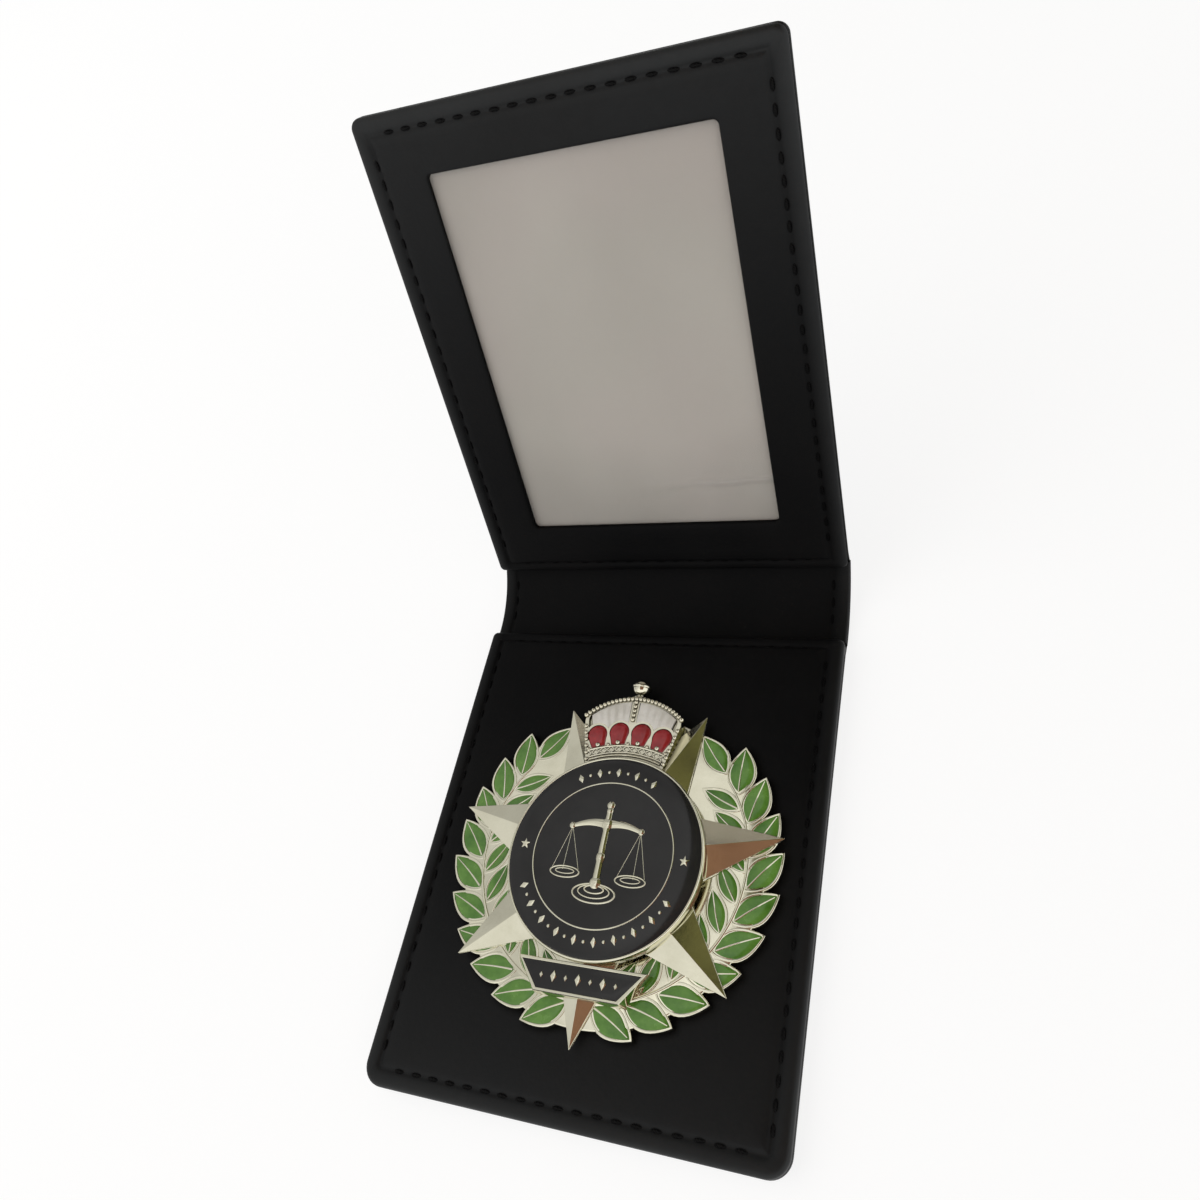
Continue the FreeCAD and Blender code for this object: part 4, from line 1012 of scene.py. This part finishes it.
def petal_line(angle, inner, steps=12):
    """Outline of one round-headed panel of the crest, drawn in about its head."""
    centre = polar(PETAL_ORBIT, angle)
    out, side = polar(1, angle), polar(1, angle + 90)
    foot = PETAL_FOOT - PETAL_ORBIT
    points = [centre + out * foot - side * PETAL_FOOT_HALF]
    points += [centre + polar(PETAL_RADIUS, angle - 90 + 180 * i / steps) for i in range(steps + 1)]
    points.append(centre + out * foot + side * PETAL_FOOT_HALF)
    pivot = centre + out * (foot * 0.3)
    return [pivot + (p - pivot) * inner for p in points]


def wire(builder, path, radius, sides=8):
    """A round wire along a path on the face of the crest."""
    rings = []
    for i, p in enumerate(path):
        run = (path[min(i + 1, len(path) - 1)] - path[max(i - 1, 0)]).normalized()
        across = Vector((-run.y, run.x, 0))
        rings.append(ellipse(p, across * radius, Vector((0, 0, radius)), sides))
    builder.rings(rings)


def crest_band(trim):
    """Three mouldings along the band, with a lattice of crossed wires between the upper two."""
    first, last = 68.2, 111.8
    for radius, thick in ((20.2, 0.26), (20.78, 0.2), (22.2, 0.24)):
        wire(trim, [polar(radius, mix(first, last, i / 24), CREST_TOP + 0.06) for i in range(25)], thick)
    count = 10
    level = CREST_TOP + 0.05
    for i in range(count):
        near, far = mix(first, last, i / count), mix(first, last, (i + 1) / count)
        for start, end in ((near, far), (far, near)):
            wire(trim, [polar(20.85, start, level), polar(22.15, end, level)], 0.15, 6)


def crest_beads(trim):
    """Beads along the arch, sides and rib, and pellets at the panels' feet and between them."""
    high, low = CREST_TOP + 0.1, CREST_TOP + 0.05
    for p in arch(0.05, 26):
        ball(trim, p + Vector((0, 0, high)), 0.5)
    for side in (-1, 1):
        for i in range(6):
            ball(trim, Vector((side * mix(8.1, 10.1, i / 6), mix(18.9, 27.4, i / 6), low)), 0.42)
    for i in range(5):
        ball(trim, Vector((0, 27.9 + 0.95 * i, high)), 0.46)
    for i in range(PETALS):
        ball(trim, polar(22.9, petal_angle(i), high), 0.52)
    for i in range(PETALS + 1):
        ball(trim, polar(22.6, petal_angle(i - 0.5), CREST_TOP), 0.4)


def crest():
    """What finishes the plain crest of the CAD model: beads, mouldings and domed panels."""
    trim = Builder()
    crest_band(trim)
    crest_beads(trim)
    rings = []
    for a in turns(24):
        out = Vector((cos(a), 0, sin(a)))
        centre = Vector((0, FINIAL_Y, FINIAL_Z)) + out * FINIAL_RING
        rings.append(ellipse(centre, out * 0.2, Vector((0, 0.28, 0))))
    trim.rings(rings, loop=True)
    badge_piece(trim, "crest_trim", CREST_SILVER, 45, "plated_metal")
    panels = Builder()
    for i in range(PETALS):
        domed = ((1.0, -0.35), (0.97, -0.06), (0.86, 0.14), (0.66, 0.27), (0.36, 0.33))
        panels.rings([raised(petal_line(petal_angle(i), inner), CREST_TOP + z) for inner, z in domed])
    badge_piece(panels, "crest_red", RED, 60, "red_enamel", "crest_enamel")
    crest_cap()


def cap_limits(angle):
    """Inner and outer reach of the cap along a ray from the medallion's middle."""
    low = PETAL_ORBIT
    for i in range(PETALS):
        off = radians(angle - petal_angle(i))
        side = PETAL_ORBIT * sin(off)
        if abs(side) < PETAL_CELL:
            low = max(low, PETAL_ORBIT * cos(off) + sqrt(PETAL_CELL ** 2 - side ** 2))
    ray = polar(1, angle)
    reach = ARCH_RADIUS - 0.8
    nearest = ARCH_MIDDLE * ray.y
    high = nearest + sqrt(nearest ** 2 - ARCH_MIDDLE ** 2 + reach ** 2)
    return low, high


def crest_cap():
    """White cap over the panels: two fluted, gently swollen fields beside the middle rib."""
    cap = Builder()
    across, out = 30, 8
    foot = CREST_TOP - 0.4
    for side in (-1, 1):
        rings = []
        for i in range(across + 1):
            angle = 90 + side * mix(1.75, 17.6, i / across)
            low, high = cap_limits(angle)
            swell = sin(pi * (i + 0.6) / (across + 1.2)) ** 0.5
            height = swell * (0.3 + 0.09 * cos(2 * pi * i / 6))
            ring = [polar(low, angle, foot)]
            for j in range(out + 1):
                rise = sin(pi * mix(0.04, 0.96, j / out)) ** 0.6
                ring.append(polar(mix(low, high, j / out), angle, CREST_TOP - 0.08 + rise * height))
            ring.append(polar(high, angle, foot))
            rings.append(ring)
        cap.rings(rings)
    badge_piece(cap, "crest_cap", WHITE, 60, "white_enamel", "cap_enamel")


def dress_nodes():
    """Finishes of the CAD nodes that stay, with softened edges on the crest."""
    for name, paint in (("base_board", BOARD), ("lid_board", BOARD), ("insert_card", CARD),
                        ("crest", CREST_SILVER), ("badge_posts", BRASS), ("post_washers", BRASS),
                        ("post_nuts", BRASS)):
        mesh = NODES[name].data
        mesh.materials.clear()
        mesh.materials.append(paint)
    weld = NODES["crest"].modifiers.new("weld", "WELD")
    weld.merge_threshold = 1e-7
    bevel(NODES["crest"], 0.1, 40)


# Studio

def surroundings():
    """Even white for the camera, half of it for soft light, and an uneven sky for the metal to mirror."""
    world = bpy.data.worlds.new("studio")
    bpy.context.scene.world = world
    world.use_nodes = True
    nodes = Nodes(world.node_tree)
    where = nodes.add("TexCoord").outputs["Generated"]

    def facing(*direction):
        return nodes.add("VectorMath", where, direction, operation="DOT_PRODUCT").outputs["Value"]

    cloud = nodes.add("TexNoise", where, Scale=4.6, Detail=2.0).outputs["Fac"]
    sky = nodes.spread(nodes.total(facing(0.35, -0.45, 0.0), cloud, 1.2), 0.35, 1.35, -0.025, 0.975)
    spot = nodes.spread(facing(-0.24, 0.2, 0.95), 1.0, 1.4, 0.965, 0.995)
    path = nodes.add("LightPath").outputs
    even = nodes.spread(path["Is Camera Ray"], 0.5, 1.0, 0.0, 1.0)
    level = nodes.add("Mix", Factor=path["Is Glossy Ray"], A=even, B=nodes.calc("MULTIPLY", sky, spot))
    back = nodes.tree.nodes["Background"]
    back.inputs["Color"].default_value = (1.0, 0.99, 0.97, 1)
    nodes.join(level.outputs["Result"], back.inputs["Strength"])


def floor_paint():
    """Diffuse grey that glows for the eye and in mirrors, so that it looks white and keeps a shadow."""
    made = bpy.data.materials.new("floor_paint")
    made.use_nodes = True
    made.node_tree.nodes.clear()
    nodes = Nodes(made.node_tree)
    path = nodes.add("LightPath").outputs
    seen = nodes.calc("MAXIMUM", path["Is Camera Ray"], path["Is Glossy Ray"])
    seen = nodes.calc("MAXIMUM", seen, path["Is Transmission Ray"])
    plain = nodes.add("BsdfDiffuse", Color=(0.9, 0.9, 0.9, 1)).outputs[0]
    glow = nodes.add("Emission", Strength=1.1).outputs[0]
    blend = nodes.add("MixShader", nodes.spread(seen, 0.0, 0.76, 0.0, 1.0), plain, glow)
    nodes.add("OutputMaterial", Surface=blend.outputs[0])
    return made


def flat_sheet(name, paint, left, right, low, high, z):
    corners = [(left, low, z), (right, low, z), (right, high, z), (left, high, z)]
    return add_mesh(name, corners, [(0, 1, 2, 3)], paint)


def stage():
    """Pale floor, and two cards over the wallet, unseen by the camera, for the metal to mirror."""
    flat_sheet("floor", floor_paint(), -3000, 3000, -3000, 3000, -0.05)
    for name, colour, deep, low, high in (
            ("card_copper", (0.62, 0.34, 0.22), (0.16, 0.07, 0.04), -260, 60),
            ("card_olive", (0.38, 0.37, 0.13), (0.035, 0.034, 0.012), 60, 420)):
        paint = Paint(name, colour, 0.9)
        paint.feed(Base_Color=paint.ramp(paint.spots(38, 1), 0.36, 0.62, deep, colour))
        piece = flat_sheet(name, paint.made, -45, 330, low, high, 420)
        piece.visible_camera = False


def area(name, place, aim, size, power, colour):
    """A soft lamp that shows in no mirror."""
    light = bpy.data.lights.new(name, "AREA")
    light.shape = "RECTANGLE"
    light.size, light.size_y = size
    light.energy = power
    light.color = colour
    made = added(name, light)
    made.location = Vector(place)
    made.rotation_mode = "QUATERNION"
    made.rotation_quaternion = (Vector(aim) - made.location).to_track_quat("-Z", "Y")
    made.visible_glossy = False


# The photo's camera, fitted to the panel edges: place in millimetres, focal length in pixels of its frame
EYE = Vector((73.27, -48.94, 179.93))
EYE_RIGHT = Vector((0.91807785, 0.20872889, -0.33699452))
EYE_DOWN = Vector((0.00460995, -0.85570179, -0.51744874))
EYE_AHEAD = Vector((-0.39637331, 0.47350471, -0.78656309))
FOCAL_PIXELS = 988.286
FRAME_PIXELS = 1200
SENSOR = 36


def camera():
    lens = bpy.data.cameras.new("camera")
    lens.sensor_width = SENSOR
    lens.lens = SENSOR * FOCAL_PIXELS / FRAME_PIXELS
    lens.clip_start = 0.005
    made = added("camera", lens)
    turn = Matrix((EYE_RIGHT, -EYE_DOWN, -EYE_AHEAD)).transposed()
    made.matrix_world = Matrix.Translation(EYE * MM) @ turn.to_4x4()
    bpy.context.scene.camera = made


base_face()
cover("base_cover", "base", BASE_LENGTH, BASE_CORNER, 2.66, BASE_PLACE)
lid_face()
cover("lid_cover", "lid", LID_LENGTH, LID_CORNER, 2.26, LID_PLACE)
window_sheet()
for sign, end, reach in ((-1, "front", 1.5), (1, "back", 1.0)):
    spine_strip("spine_lining_" + end, 0.57, 1.65, True, sign, reach, "spine_lining")
    spine_strip("spine_cover_" + end, -0.55, 0.53, False, sign, 1.2, "spine_cover")
panel_seams("base_thread", "base", BASE_LENGTH, BASE_TOP, BASE_PLACE, "base_stitching")
panel_seams("lid_thread", "lid", LID_LENGTH, LID_TOP, LID_PLACE, "lid_stitching")
spine_seams()
wreath()
star_points()
medallion()
bar()
crest()
dress_nodes()

bpy.context.scene.view_settings.view_transform = "Standard"
surroundings()
stage()
area("key", (-0.75, -0.1, 0.75), (0, 0.02, 0.02), (1.2, 1.2), 4.6, (1.0, 0.985, 0.96))
area("fill", (0.6, -0.6, 0.4), (0, 0.02, 0.03), (0.8, 0.6), 1.2, (0.97, 0.98, 1.0))
camera()
